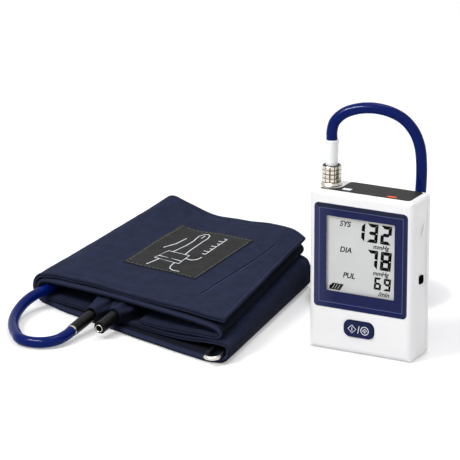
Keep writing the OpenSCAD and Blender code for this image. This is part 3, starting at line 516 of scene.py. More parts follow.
@dataclass(frozen=True)
class Palette:
    """Every finish of the recorder, by what it is on."""

    case: Moulded = Moulded("case_shell", "f2f2f2", "ededee", 0.36, 0.08, coat=0.15, coat_roughness=0.25,
                            patches=14.0, grain=3200.0, relief=0.00002)
    # Grey of the painted shade in the side crease.
    crease: Moulded = Moulded("case_crease_painted_shade", "b4b5b8", "c6c7ca", 0.5, 0.05, specular=0.1, patches=300.0)
    # The bezel's finish paints light and shade on its slopes and a highlight line round its field.
    bezel: SlopedFrame = SlopedFrame("bezel_gloss", "081244", "0b164c", 0.2, 0.05, coat=0.05, specular=0.14,
                                     patches=18.0, relief=0.00001)
    key: Moulded = Moulded("key_blue", "0c143e", "101a48", 0.3, 0.06, coat=0.06, specular=0.12,
                           relief=0.00002)
    ink: Moulded = Moulded("white_ink", "f2f4fa", "e4e8f2", 0.5, 0.05, patches=300.0)
    orange: Moulded = Moulded("orange_ink", "f2602c", "e85722", 0.45, 0.05, specular=0.1, patches=300.0)
    screen: Moulded = Moulded("display_grey", "dcdddc", "d3d4d3", 0.32, 0.05, specular=0.2, patches=22.0,
                              relief=0.00001)
    segment: Moulded = Moulded("display_black", "050506", "0a0a0c", 0.35, 0.05, specular=0.03, patches=200.0)
    window: Moulded = Moulded("clear_window", "22262c", "1c2026", 0.04, 0.01, specular=0.2, alpha=0.03,
                              relief=0.0)
    plate: Moulded = Moulded("plate_grey", "222223", "161617", 0.5, 0.1, specular=0.1, patches=420.0,
                             grain=1800.0, relief=0.00006)
    black: Moulded = Moulded("black_plastic", "09090a", "101011", 0.32, 0.1, specular=0.1, patches=90.0,
                             relief=0.00004)
    rubber: Moulded = Moulded("black_rubber", "060607", "0c0c0d", 0.72, 0.1, specular=0.02, patches=120.0,
                              relief=0.00005)
    ivory: Moulded = Moulded("ivory_plastic", "d9d3c0", "cfc8b3", 0.5, 0.1)
    contact: Moulded = Moulded("contact_rubber", "b98a86", "a97a77", 0.7, 0.1)
    board: Moulded = Moulded("board_green", "17482f", "1d5a3a", 0.35, 0.1, coat=0.3, patches=160.0)
    sleeve: Moulded = Moulded("sleeve_white", "fbfcfd", "f4f7f9", 0.38, 0.08, subsurface=0.2, patches=90.0)
    silicone: Moulded = Moulded("clear_silicone", "dfe4e6", "ced5d8", 0.3, 0.1, transmission=0.4)
    cell: Moulded = Moulded("cell_wrap", "2b3440", "37424f", 0.3, 0.1, coat=0.4, patches=70.0)
    bladder: Moulded = Moulded("bladder_rubber", "1a1b1f", "242529", 0.75, 0.1, specular=0.1, patches=60.0)
    hose: Moulded = Moulded("hose_vinyl", "001452", "001a66", 0.3, 0.1, coat=0.11, specular=0.03,
                            patches=45.0, grain=1500.0, relief=0.00002)
    metal: TurnedMetal = TurnedMetal("bright_nickel", "d8d2c8", "a89f92", 0.2)
    chrome: TurnedMetal = TurnedMetal("drawn_wire", "e2dfda", "bdb8b0", 0.16)
    # Its knurl grooves take painted shade.
    knurl: KnurledMetal = KnurledMetal("knurled_nickel", "e9e4db", "b9ad9b", 0.2, 1.6, 0.00003)
    brass: TurnedMetal = TurnedMetal("turned_brass", "c9a35e", "a9803c", 0.24)
    motor: TurnedMetal = TurnedMetal("motor_steel", "b9bcc0", "8f9297", 0.3)
    copper: TurnedMetal = TurnedMetal("copper_winding", "b8693d", "8f4c27", 0.32, 3.0, 0.00008)
    # The cloths and the label are painted lighter where they face up.
    cloth: Woven = Woven("cuff_nylon", "070a16", "29304e")
    lining: Woven = Woven("cuff_lining_nylon", "060812", "171c30", 0.0008, sheen=0.0, hem="232840",
                          hem_w=0.0026)
    label: Woven = Woven("label_weave", "101010", "3a3a3b", 0.0007, 0.00006, 1100.0, 0.7, 0.0)
    thread: Moulded = Moulded("sewing_thread", "020309", "05060e", 0.7, 0.1, specular=0.0, patches=400.0)
    label_thread: Moulded = Moulded("label_thread", "8c8c8e", "6c6c6e", 0.7, 0.1, specular=0.05,
                                    patches=400.0)
    # Light thread of the hem stitches, also used for the painted highlight beside the flap's seam.
    hem_thread_and_painted_highlight: Moulded = Moulded("hem_thread_and_painted_highlight", "5a648a", "434b6c", 0.7, 0.1, specular=0.03, patches=400.0)


class Wardrobe:
    """Builds each finish once and hands its material out."""

    def __init__(self, palette: Palette) -> None:
        """Keeps the palette of finishes."""
        self.palette = palette
        self.made: dict[str, bpy.types.Material] = {}

    def get(self, name: str) -> bpy.types.Material:
        """Returns the material of one finish.

        Args:
            name: the finish's field name in the palette.

        Returns:
            The material.
        """
        if name not in self.made:
            self.made[name] = getattr(self.palette, name).build()
        return self.made[name]


WARDROBE = Wardrobe(Palette())


# Making pieces


def wear(obj: bpy.types.Object, finish: str) -> None:
    """Puts a finish on an object in place of what it wore."""
    obj.data.materials.clear()
    obj.data.materials.append(WARDROBE.get(finish))


def dress(finish: str, *names: str) -> None:
    """Gives CAD nodes a finish.

    Args:
        finish: the finish's field name in the palette.
        *names: the nodes.
    """
    for name in names:
        wear(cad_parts[name], finish)
        LOG.info("%s dressed in %s", name, finish)


def link_in(obj: bpy.types.Object) -> bpy.types.Object:
    """Puts an object in the scene and returns it."""
    bpy.context.scene.collection.objects.link(obj)
    return obj


def settle(obj: bpy.types.Object, finish: str, body: Body = Body.MONITOR,
           stands_for: Sequence[str] = ()) -> bpy.types.Object:
    """Gives a new piece its finish and its body, and hides the CAD nodes that it stands for.

    Args:
        obj: the piece, its place in its mesh.
        finish: the finish's field name in the palette.
        body: the body that it rides on.
        stands_for: CAD nodes that it replaces.

    Returns:
        The piece.
    """
    link_in(obj)
    wear(obj, finish)
    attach(obj, body.value)
    if stands_for:
        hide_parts(*stands_for)
    LOG.info("%s made, on %s", obj.name, body.value)
    return obj


def to_object(name: str, bm: bmesh.types.BMesh, sharp: float = 35.0) -> bpy.types.Object:
    """Turns a bmesh into an object with smooth faces and sharp edges past an angle.

    Args:
        name: the object's name.
        bm: the shape, which is freed.
        sharp: the angle in degrees.

    Returns:
        The object, not linked yet.
    """
    mesh = bpy.data.meshes.new(name)
    bm.to_mesh(mesh)
    bm.free()
    mesh.shade_smooth()
    mesh.set_sharp_from_angle(angle=math.radians(sharp))
    return bpy.data.objects.new(name, mesh)


def in_place(bm: bmesh.types.BMesh, spot: Sequence[float], turn: float = 0.0, about: str = "X",
             outward: bool = False) -> bmesh.types.BMesh:
    """Turns a shape drawn in millimetres at the origin, moves it to its place and brings it to metres.

    Args:
        bm: the shape.
        spot: where its origin goes, in millimetres.
        turn: the turn in degrees.
        about: the axis of the turn.
        outward: whether its faces still have to be turned outwards.

    Returns:
        The same bmesh.
    """
    bmesh.ops.rotate(bm, cent=CENTRE, matrix=Matrix.Rotation(math.radians(turn), 3, about), verts=bm.verts)
    bmesh.ops.translate(bm, vec=spot, verts=bm.verts)
    if outward:
        bmesh.ops.recalc_face_normals(bm, faces=bm.faces)
    bmesh.ops.scale(bm, vec=(MM, MM, MM), verts=bm.verts)
    return bm


def slab(bm: bmesh.types.BMesh, outline: Sequence[Flat], depth: float) -> None:
    """Adds a flat plate with a straight-sided outline, from y = 0 to y = -depth.

    Args:
        bm: the bmesh that it is added to.
        outline: corners in X and Z, in order.
        depth: its thickness.
    """
    face = bm.faces.new([bm.verts.new((x, 0.0, z)) for x, z in outline])
    face.normal_update()
    made = bmesh.ops.extrude_face_region(bm, geom=[face])["geom"]
    back = [v for v in made if isinstance(v, bmesh.types.BMVert)]
    bmesh.ops.translate(bm, vec=(0.0, -depth, 0.0), verts=back)


def tubes(name: str, lines: Iterable[tuple[Sequence[Point], bool]], diameter: float,
          facets: int) -> bpy.types.Curve:
    """Makes a curve with a round tube along each of its lines.

    Args:
        name: the curve's name.
        lines: for each line its points, and whether it closes.
        diameter: the tube's diameter.
        facets: the curve's bevel resolution.

    Returns:
        The curve.
    """
    curve = bpy.data.curves.new(name, "CURVE")
    curve.dimensions = "3D"
    curve.bevel_depth = diameter / 2
    curve.bevel_resolution = facets
    curve.use_fill_caps = True
    for points, closed in lines:
        spline = curve.splines.new("POLY")
        spline.points.add(len(points) - 1)
        for place, point in zip(spline.points, points):
            place.co = (*point, 1.0)
        spline.use_cyclic_u = closed
        spline.use_smooth = True
    return curve


def shape_of(curve: bpy.types.Curve) -> bmesh.types.BMesh:
    """Turns a curve or a text into its surface.

    Args:
        curve: the curve, which is removed.

    Returns:
        A bmesh of the surface.
    """
    holder = link_in(bpy.data.objects.new(curve.name, curve))
    mesh = bpy.data.meshes.new_from_object(holder.evaluated_get(bpy.context.evaluated_depsgraph_get()))
    bpy.data.objects.remove(holder)
    bm = bmesh.new()
    bm.from_mesh(mesh)
    bpy.data.meshes.remove(mesh)
    bpy.data.curves.remove(curve)
    return bm


def inked_lines(lines: Sequence[Stroke], width: float, flatness: float) -> bmesh.types.BMesh:
    """Draws lines in the X-Z plane as flattened round strokes.

    Args:
        lines: for each line its points in X and Z, and whether it closes.
        width: the stroke's width.
        flatness: the stroke's height as a share of its width.

    Returns:
        A bmesh of the strokes, their middle at y = 0.
    """
    standing = [([(x, 0.0, z) for x, z in points], closed) for points, closed in lines]
    bm = shape_of(tubes("stroke", standing, width, 3))
    bmesh.ops.scale(bm, vec=(1.0, flatness, 1.0), verts=bm.verts)
    return bm


def lettering(words: str, height: float, slant: float) -> bmesh.types.BMesh:
    """Sets a short generic word as thin raised letters in the X-Z plane.

    Args:
        words: what it says.
        height: the capitals' height.
        slant: how far the letters lean.

    Returns:
        A bmesh of the letters, from x = 0 and z = 0.
    """
    capital_share, boldness = 0.72, 0.036
    text = bpy.data.curves.new("word", "FONT")
    text.body = words
    text.size = height / capital_share
    text.shear = slant
    text.extrude = 0.01 * MM
    text.offset = height * boldness
    bm = shape_of(text)
    bmesh.ops.remove_doubles(bm, verts=bm.verts, dist=1e-7)
    bmesh.ops.rotate(bm, cent=CENTRE, matrix=Matrix.Rotation(math.pi / 2, 3, "X"), verts=bm.verts)
    return bm


def join(parts: Iterable[tuple[bmesh.types.BMesh, Matrix]]) -> bmesh.types.BMesh:
    """Puts several shapes in one bmesh, each moved to its place.

    Args:
        parts: shapes with the matrix that places each, which are freed.

    Returns:
        One bmesh with all of them.
    """
    whole = bmesh.new()
    for part, place in parts:
        bmesh.ops.transform(part, matrix=place, verts=part.verts)
        mesh = bpy.data.meshes.new("part")
        part.to_mesh(mesh)
        part.free()
        whole.from_mesh(mesh)
        bpy.data.meshes.remove(mesh)
    return whole


def grid(along: int, across: int) -> tuple[bmesh.types.BMesh, list[bmesh.types.BMVert]]:
    """Makes the flat grid that a sheet is shaped from.

    Args:
        along: how many vertices a row has.
        across: how many rows there are.

    Returns:
        The bmesh, and its vertices row by row.
    """
    bm = bmesh.new()
    bmesh.ops.create_grid(bm, x_segments=along - 1, y_segments=across - 1, size=1.0)
    return bm, sorted(bm.verts, key=lambda v: (round(v.co.y, 5), round(v.co.x, 5)))


def map_cloth(bm: bmesh.types.BMesh, flat: dict[bmesh.types.BMVert, Flat]) -> None:
    """Gives a sheet the map that its weave follows.

    Args:
        bm: the sheet.
        flat: each vertex's place on the flat cloth, in metres.
    """
    layer = bm.loops.layers.uv.new("cloth")
    for face in bm.faces:
        for loop in face.loops:
            loop[layer].uv = flat[loop.vert]


def thicken(piece: bpy.types.Object, wall: float, offset: float) -> None:
    """Gives a sheet its thickness.

    Args:
        piece: the sheet.
        wall: its thickness in millimetres.
        offset: 1 where it grows outwards, -1 inwards and 0 both ways.
    """
    modifier = piece.modifiers.new("wall", "SOLIDIFY")
    modifier.thickness = wall * MM
    modifier.offset = offset
    modifier.use_even_offset = False


def curve_point(a: Vector, b: Vector, c: Vector, d: Vector, t: float) -> Vector:
    """Gives a point between the second and the third of four points, as the CAD source does.

    Args:
        a: the point before the stretch.
        b: the stretch's start.
        c: the stretch's end.
        d: the point after the stretch.
        t: share of the way along the stretch.

    Returns:
        The point on the smooth curve.
    """
    return 0.5 * (2 * b + t * (c - a) + t * t * (2 * a - 5 * b + 4 * c - d)
                  + t * t * t * (3 * b - a - 3 * c + d))


def smooth_line(points: Sequence[Point], steps: int) -> list[Vector]:
    """Runs a smooth curve through points.

    Args:
        points: the route's points.
        steps: how many points each stretch gets.

    Returns:
        The curve's points.
    """
    line = [Vector(p) for p in points]
    last = len(line) - 1
    out = []
    for i in range(last):
        around = [line[min(max(k, 0), last)] for k in (i - 1, i, i + 1, i + 2)]
        out += [curve_point(*around, k / steps) for k in range(steps)]
    return out + [line[last]]


# Studio


def aimed(place: Sequence[float], way: Vector, front: str = "-Z") -> Matrix:
    """Returns the matrix that puts an object in its place with its front axis along a direction."""
    return Matrix.Translation(place) @ way.to_track_quat(front, "Y").to_matrix().to_4x4()


def seen_rays(bench: NodeBench) -> bpy.types.NodeSocket:
    """Tells rays that carry a picture from those that only carry light.

    Args:
        bench: the bench on a material's or the world's tree.

    Returns:
        1 for rays from the camera, off gloss and through clear pieces.
    """
    path = bench.add("ShaderNodeLightPath").outputs
    seen = bench.math("MAXIMUM", path["Is Camera Ray"], path["Is Glossy Ray"])
    return bench.math("MAXIMUM", seen, path["Is Transmission Ray"])


@dataclass
class Studio:
    """White floor, soft lamps and the camera at the photograph's angle."""

    eye: Point = (0.81194728, -1.72029111, 0.67052632)
    heading: float = 27.65937548
    pitch: float = 17.5
    focal_px: float = 3513.798424
    image_px: int = 460
    sensor: float = 36.0
    floor_half: float = 6.0
    floor_drop: float = 0.2
    floor_glow: float = 0.28
    room_light: float = 0.5

    def build(self) -> None:
        """Makes camera, floor, lamps and world."""
        self.camera()
        self.floor()
        self.lamps()
        self.world()

    def camera(self) -> None:
        """Sets the camera by its place, heading and pitch."""
        data = bpy.data.cameras.new("camera")
        data.sensor_width = self.sensor
        data.lens = self.focal_px / self.image_px * self.sensor
        data.clip_start = 0.05
        data.clip_end = 20.0
        camera = link_in(bpy.data.objects.new("camera", data))
        turn, tilt = math.radians(self.heading), math.radians(self.pitch)
        ahead = Vector((-math.sin(turn) * math.cos(tilt), math.cos(turn) * math.cos(tilt), -math.sin(tilt)))
        camera.matrix_world = aimed(self.eye, ahead)
        bpy.context.scene.camera = camera

    def floor(self) -> None:
        """Lays a wide white floor that keeps the object's shadow and looks white where nothing falls."""
        bm = bmesh.new()
        bmesh.ops.create_grid(bm, x_segments=2, y_segments=2, size=self.floor_half)
        bmesh.ops.translate(bm, vec=(0.0, 0.0, -self.floor_drop * MM), verts=bm.verts)
        plane = link_in(to_object("floor", bm))
        material, bench, shader = start_material("floor_white")
        bench.feed(shader, {
            "Base Color": (0.78, 0.78, 0.79, 1.0), "Roughness": 0.9, "Specular IOR Level": 0.1,
            "Emission Color": (1.0, 1.0, 1.0, 1.0),
            "Emission Strength": bench.math("MULTIPLY", seen_rays(bench), self.floor_glow),
        })
        plane.data.materials.append(material)

    def lamps(self) -> None:
        """Hangs a soft key lamp at the left, weaker ones at the right and above, and two for glints alone."""
        for name, place, aim, width, height, power, lights in (
            ("key_lamp", (-0.75, -1.0, 1.3), (-0.06, 0.0, 0.03), 0.55, 0.55, 17.0, True),
            ("fill_lamp", (1.3, -1.0, 0.9), (0.0, 0.0, 0.05), 0.9, 0.9, 3.0, True),
            ("top_lamp", (0.05, 0.4, 1.5), (-0.05, 0.0, 0.0), 0.6, 0.6, 7.0, True),
            ("wide_glint", (-0.35, -1.1, 1.5), (0.0, 0.0, 0.05), 1.0, 0.12, 90.0, False),
            ("front_glint", (0.35, -1.5, 1.1), (0.0, 0.0, 0.05), 0.1, 0.1, 4.0, False),
        ):
            lamp = bpy.data.lights.new(name, "AREA")
            lamp.shape = "RECTANGLE"
            lamp.size = width
            lamp.size_y = height
            lamp.energy = power
            obj = link_in(bpy.data.objects.new(name, lamp))
            obj.visible_diffuse = lights
            obj.matrix_world = aimed(place, Vector(aim) - Vector(place))

    def world(self) -> None:
        """Fills the room with plain light, and shows white where a view or a reflection passes the floor."""
        world = bpy.data.worlds.new("room")
        world.use_nodes = True
        bpy.context.scene.world = world
        bench = NodeBench(world.node_tree)
        strength = bench.math("MULTIPLY_ADD", seen_rays(bench), 1.0 - self.room_light, self.room_light)
        bench.feed(world.node_tree.nodes["Background"], {"Color": (1.0, 1.0, 1.0, 1.0), "Strength": strength})
        bpy.context.scene.view_settings.view_transform = "Standard"


# Air hose


@dataclass
class AirHose:
    """The whole air hose: over the recorder, its coil behind, and through the cuff to the coupling."""

    diameter: float = 6.4
    length: float = 1119.0
    coil_centre: Flat = (-40.0, 84.0)
    coil_radius: float = 32.0
    coil_turns: float = 2.25
    coil_layer: float = 6.95
    coil_rest: float = 3.6
    coil_steps: int = 24
    climb_start: float = 0.6
    climb_share: float = 0.25
    curve_steps: int = 5
    arch: tuple[Point, ...] = (
        (-24, -1, 121.9), (-24, -1, 127), (-22.4, -0.4, 132.6), (-17.4, 1.4, 137.6), (-10, 4, 140.4),
        (-2, 7, 141), (6, 10, 139.4), (13.4, 13, 135.4), (19, 15.4, 128.6), (22.4, 16.6, 120),
        (23.6, 17, 110), (23.6, 17, 98), (22.6, 17.2, 84), (21, 17.6, 68), (19, 18.4, 50),
        (17.2, 20.4, 33), (15, 25, 18.6), (12, 33, 8.8), (8.2, 43, 4.4), (3.4, 53, 3.6),
        (-1.6, 61.4, 3.6), (-5.2, 69.6, 3.6), (-7.1, 77.2, 3.6),
    )
    tail: tuple[Point, ...] = (
        (-48, 117, 17.4), (-56, 117.4, 16), (-64, 116.2, 13), (-72, 112.8, 9.4), (-80, 107.8, 6),
        (-88, 103.2, 4.2), (-97, 100.8, 3.6), (-109, 102, 3.6), (-122.5, 106.4, 3.6),
        (-134.5, 112, 3.6), (-146, 118.4, 3.7), (-157, 124.7, 4.4), (-167.7, 130.9, 5.8),
        (-175.7, 133, 7.4), (-183.7, 130.9, 9.6), (-189.6, 125, 11.8), (-191.7, 117, 13.2),
        (-193.3, 98, 13), (-195.4, 72, 12.2), (-197.5, 46, 11.4), (-199.6, 20, 10.6),
        (-201.6, -4, 10), (-202.9, -20, 9.8), (-205, -29, 9), (-205.8, -39, 7.2), (-204.2, -50, 5.2),
        (-200.2, -61, 3.8), (-194.2, -71, 3.3), (-187, -79.8, 3.3), (-180.9, -86, 3.3),
        (-173.4, -88, 3.3), (-165.9, -86, 3.4), (-160.4, -80.5, 3.9), (-158.5, -73, 4.6),
        (-158.29, -66.7, 5.42),
    )

    def coil(self) -> list[Point]:
        """Winds the coil: each turn lies on the one below and climbs off it at one side.

        Returns:
            Its points, as many a turn as coil_steps says.
        """
        points = []
        for i in range(round(self.coil_turns * self.coil_steps) + 1):
            t = i / self.coil_steps
            whole = math.floor(t)
            climb = whole + min(max((t - whole - self.climb_start) / self.climb_share, 0.0), 1.0)
            angle = 2 * math.pi * t
            points.append((self.coil_centre[0] + self.coil_radius * math.cos(angle),
                           self.coil_centre[1] + self.coil_radius * math.sin(angle),
                           self.coil_rest + self.coil_layer * climb))
        return points

    def build(self) -> None:
        line = smooth_line([*self.arch, *self.coil(), *self.tail], self.curve_steps)
        curve = tubes("air_hose", [([point * MM for point in line], False)], self.diameter * MM, 7)
        hose = bpy.data.objects.new("air_hose", curve)
        settle(hose, "hose", stands_for=("hose_arch", "hose_coil", "hose_tail"))


# Recorder


@dataclass
class Recorder:
    """The white case with its plate, connector, battery cover and what is inside."""

    width: float = 66.0
    height: float = 95.0
    plate_rise: float = 0.15
    ink_rise: float = 0.02
    ink_flatness: float = 0.06
    crease_start: Flat = (2.0, 81.4)
    crease_end: Flat = (-3.7, 70.8)
    crease_half_w: float = 0.5
    crease_depth: float = 0.03
    crease_steps: int = 14
    data_y: float = -0.6
    data_z: float = 46.8
    lip_half_d: float = 2.46
    lip_half_h: float = 2.36
    lip_r: float = 0.85
    lip_wall: float = 0.4
    lip_deep: float = 1.9

    def build(self) -> None:
        """Dresses the nodes of the recorder and makes its printed marks."""
        dress("case", "front_case", "rear_case", "battery_cover")
        dress("motor", "case_screws", "battery_springs", "battery_plates", "socket_nut", "pump_motor",
              "valve_plunger")
        dress("plate", "top_plate")
        dress("black", "data_socket", "button_switch", "switch_plunger", "pump_head", "exhaust_valve",
              "pressure_sensor", "beeper")
        dress("rubber", "socket_seal")
        dress("metal", "air_socket")
        dress("knurl", "plug_collar")
        dress("brass", "plug_nipple")
        dress("sleeve", "plug_sleeve")
        dress("silicone", "air_pipes")
        dress("copper", "pump_rotor")
        dress("cell", "battery_cells")
        dress("board", "main_board")
        self.plate_marks()
        self.data_lip()
        self.side_crease()

    def plate_marks(self) -> None:
        """Prints the orange pill and a white bar on the dark top plate."""
        top = self.height + self.plate_rise + self.ink_rise
        for name, finish, x0, x1, y, w in (
            ("plate_mark_orange", "orange", 12.8, 20.6, -7.2, 2.4),
            ("plate_mark_white", "ink", -16.4, -7.6, -5.4, 3.6),
        ):
            pill = inked_lines([([(x0 + w / 2, 0.0), (x1 - w / 2, 0.0)], False)], w, self.ink_flatness)
            settle(to_object(name, in_place(pill, (0.0, y, top), -90.0)), finish)

    def side_crease(self) -> None:
        """Paints the shade of the slanting crease in the right side of the case, as a thin grey slab."""
        start, steps = Vector(self.crease_start), self.crease_steps
        along = Vector(self.crease_end) - start
        across = Vector((-along.y, along.x)).normalized() * self.crease_half_w
        rim = [start + along * (i / steps) + across * side * math.sin(math.pi * i / steps) ** 1.5
               for side, run in ((1, range(steps)), (-1, range(steps, 0, -1))) for i in run]
        bm = bmesh.new()
        slab(bm, [tuple(spot) for spot in rim], self.crease_depth)
        spot = (self.width / 2 - self.crease_depth / 2, 0.0, 0.0)
        crease = in_place(bm, spot, 90.0, "Z", outward=True)
        settle(to_object("case_side_crease_painted_shade", crease), "crease")

    def data_lip(self) -> None:
        """Lines the opening of the data socket with a black rubber lip."""
        bm = bmesh.new()
        rings = []
        wall, deep, r = self.lip_wall, self.lip_deep, self.lip_r
        for off, x in ((0.0, 0.0), (wall, 0.0), (wall, -deep), (0.0, -deep)):
            rings.append([bm.verts.new((x, sy * (self.lip_half_d - r) + (r - off) * math.cos(a),
                                        sz * (self.lip_half_h - r) + (r - off) * math.sin(a)))
                          for sy, sz, turn in ((1, 1, 0), (-1, 1, 1), (-1, -1, 2), (1, -1, 3))
                          for a in (math.pi / 2 * (turn + i / 5) for i in range(6))])
        for one, two in zip(rings, rings[1:] + rings[:1]):
            for i in range(len(one)):
                bm.faces.new((one[i - 1], one[i], two[i], two[i - 1]))
        spot = (self.width / 2 - 0.05, self.data_y, self.data_z)
        settle(to_object("data_socket_lip", in_place(bm, spot, outward=True)), "rubber")


@dataclass
class Display:
    """Bezel, window and the segment display with its readings."""

    glass_x: float = -0.5
    glass_z: float = 57.9
    view_w: float = 42.9
    view_h: float = 44.7
    face_y: float = -10.47
    lean: float = 0.07
    ink: float = 0.02
    ink_y: float = 0.012
    segment_w: float = 0.3
    gap_share: float = 0.03
    point_share: float = 0.22
    sign_w: float = 7.2
    sign_h: float = 3.9
    sign_edge: float = 0.55
    sign_lean: float = 0.6
    bar_w: float = 1.27
    bar_pitch: float = 1.62

    def build(self) -> None:
        """Dresses the display's nodes and makes its segments and words."""
        dress("bezel", "display_bezel")
        dress("window", "display_window")
        dress("screen", "lcd_panel")
        dress("ivory", "lcd_holder")
        dress("contact", "lcd_contact_strips")
        self.readings()
        self.words()
        self.battery_sign()

    def at(self, u: float, v: float) -> Flat:
        """Gives X and Z for a place on the visible display.

        Args:
            u: share of its width from the left.
            v: share of its height from the top.

        Returns:
            X and Z in millimetres.
        """
        return self.glass_x + (u - 0.5) * self.view_w, self.glass_z + (0.5 - v) * self.view_h

    def segment(self, name: str, w: float, h: float) -> list[Flat]:
        """Draws one of a digit's seven segments, as if the digit stood upright.

        Args:
            name: the segment's usual letter, from a to g.
            w: the digit's width.
            h: the digit's height.

        Returns:
            The segment's corners in order.
        """
        t = self.segment_w * w
        gap = t * self.gap_share
        middle = h / 2
        if name == "g":
            low, high = middle - t / 2, middle + t / 2
            return [(gap + t / 2, middle), (gap + t, low), (w - gap - t, low), (w - gap - t / 2, middle),
                    (w - gap - t, high), (gap + t, high)]
        if name in "ad":
            low, high, in_low, in_high = (h - t, h, t, 0.0) if name == "a" else (0.0, t, 0.0, t)
            return [(gap + in_low, low), (w - gap - in_low, low), (w - gap - in_high, high),
                    (gap + in_high, high)]
        left, upper = name in "ef", name in "bf"
        foot, head = (middle, h) if upper else (0.0, middle)
        outer, inner = (0.0, t) if left else (w, w - t)
        at_end, at_middle = (gap, t), (gap * 1.5, t * self.point_share)
        (foot_gap, foot_slope), (head_gap, head_slope) = (at_middle, at_end) if upper else (at_end, at_middle)
        shape = [(outer, foot + foot_gap), (inner, foot + foot_slope + gap),
                 (inner, head - head_slope - gap), (outer, head - head_gap)]
        return shape[::-1] if left else shape

    def digit(self, bm: bmesh.types.BMesh, number: int, x: float, z: float, w: float, h: float) -> None:
        """Adds one leaning seven-segment digit.

        Args:
            bm: the bmesh that it is added to.
            number: the digit.
            x: its left side.
            z: its foot.
            w: its width.
            h: its height.
        """
        lit = ("abcdef", "bc", "abged", "abgcd", "fgbc", "afgcd", "afgedc", "abc", "abcdefg", "abcdfg")
        for name in lit[number]:
            slab(bm, [(x + px + self.lean * pz, z + pz) for px, pz in self.segment(name, w, h)], self.ink)

    def settle_ink(self, name: str, bm: bmesh.types.BMesh) -> None:
        """Lays black shapes on the display's face."""
        spot = (0.0, self.face_y + self.ink_y, 0.0)
        settle(to_object(name, in_place(bm, spot, outward=True)), "segment")

    def readings(self) -> None:
        """Shows the two pressures and the pulse as segment digits."""
        bm = bmesh.new()
        for reading, places, head, foot, width in (
            ("132", (0.386, 0.577, 0.774), 0.035, 0.285, 6.7),
            ("78", (0.577, 0.774), 0.382, 0.632, 6.7),
            ("69", (0.69, 0.828), 0.733, 0.898, 4.4),
        ):
            for figure, u in zip(reading, places):
                self.digit(bm, int(figure), *self.at(u, foot), width, (foot - head) * self.view_h)
        self.settle_ink("display_digits", bm)

    def words(self) -> None:
        """Sets the generic row names and units beside the digits."""
        slant, word_y = 0.25, self.face_y + 0.005
        parts = []
        for word, u, v, height in (
            ("SYS", 0.18, 0.122, 3.2), ("DIA", 0.185, 0.465, 3.2), ("PUL", 0.234, 0.802, 3.2),
            ("mmHg", 0.672, 0.358, 2.6), ("mmHg", 0.672, 0.708, 2.6), ("/min", 0.755, 0.978, 2.8),
        ):
            x, z = self.at(u, v)
            spot = (x * MM, word_y * MM, z * MM)
            parts.append((lettering(word, height * MM, slant), Matrix.Translation(spot)))
        settle(to_object("display_words", join(parts)), "segment")

    def battery_sign(self) -> None:
        """Draws the slanted battery sign: a frame with a knob at its left and four bars."""
        bm = bmesh.new()
        x, z = self.at(0.03, 0.985)
        w, h, edge, knob, inset = self.sign_w, self.sign_h, self.sign_edge, 0.6, 0.4
        frame_bars = [(0.0, 0.0, w, edge), (0.0, h - edge, w, h), (0.0, edge, edge, h - edge),
                      (w - edge, edge, w, h - edge), (-knob, h * 0.3, 0.0, h * 0.7)]
        starts = [0.45 + i * self.bar_pitch for i in range(4)]
        for x0, z0, x1, z1 in frame_bars + [(s, inset, s + self.bar_w, h - inset) for s in starts]:
            corners = ((x0, z0), (x1, z0), (x1, z1), (x0, z1))
            slab(bm, [(x + px + self.sign_lean * pz, z + pz) for px, pz in corners], self.ink)
        self.settle_ink("display_battery_sign", bm)


@dataclass
class StartKey:
    """The blue start and stop button with its printed signs."""

    x: float = -0.4
    z: float = 15.3
    face_y: float = -13.25
    stroke: float = 0.42
    flatness: float = 0.16
    sign_x: float = 4.0
    sign_half: float = 2.35
    ring_steps: int = 40

    def build(self) -> None:
        """Dresses the button and prints the start sign, the slash and the stop sign."""
        dress("key", "start_button")
        mid, half, low = self.sign_x, self.sign_half, -0.1
        ring = [(mid + half * math.cos(math.tau * i / self.ring_steps),
                 low + half * math.sin(math.tau * i / self.ring_steps)) for i in range(self.ring_steps)]
        lines = [
            ([(-6.5, 0.0), (-mid, half), (-1.5, 0.0), (-mid, -half)], True),
            ([(-mid, -1.0), (-mid, 1.0)], False),
            ([(-0.35, -2.3), (0.55, 2.3)], False),
            (ring, True),
            ([(2.7, low), (mid, 1.15), (5.3, low), (mid, -1.35)], True),
            ([(mid, -0.5), (mid, 0.3)], False),
        ]
        signs = in_place(inked_lines(lines, self.stroke, self.flatness), (self.x, self.face_y - 0.01, self.z))
        settle(to_object("key_signs", signs), "ink", Body.KEY)


# Cuff


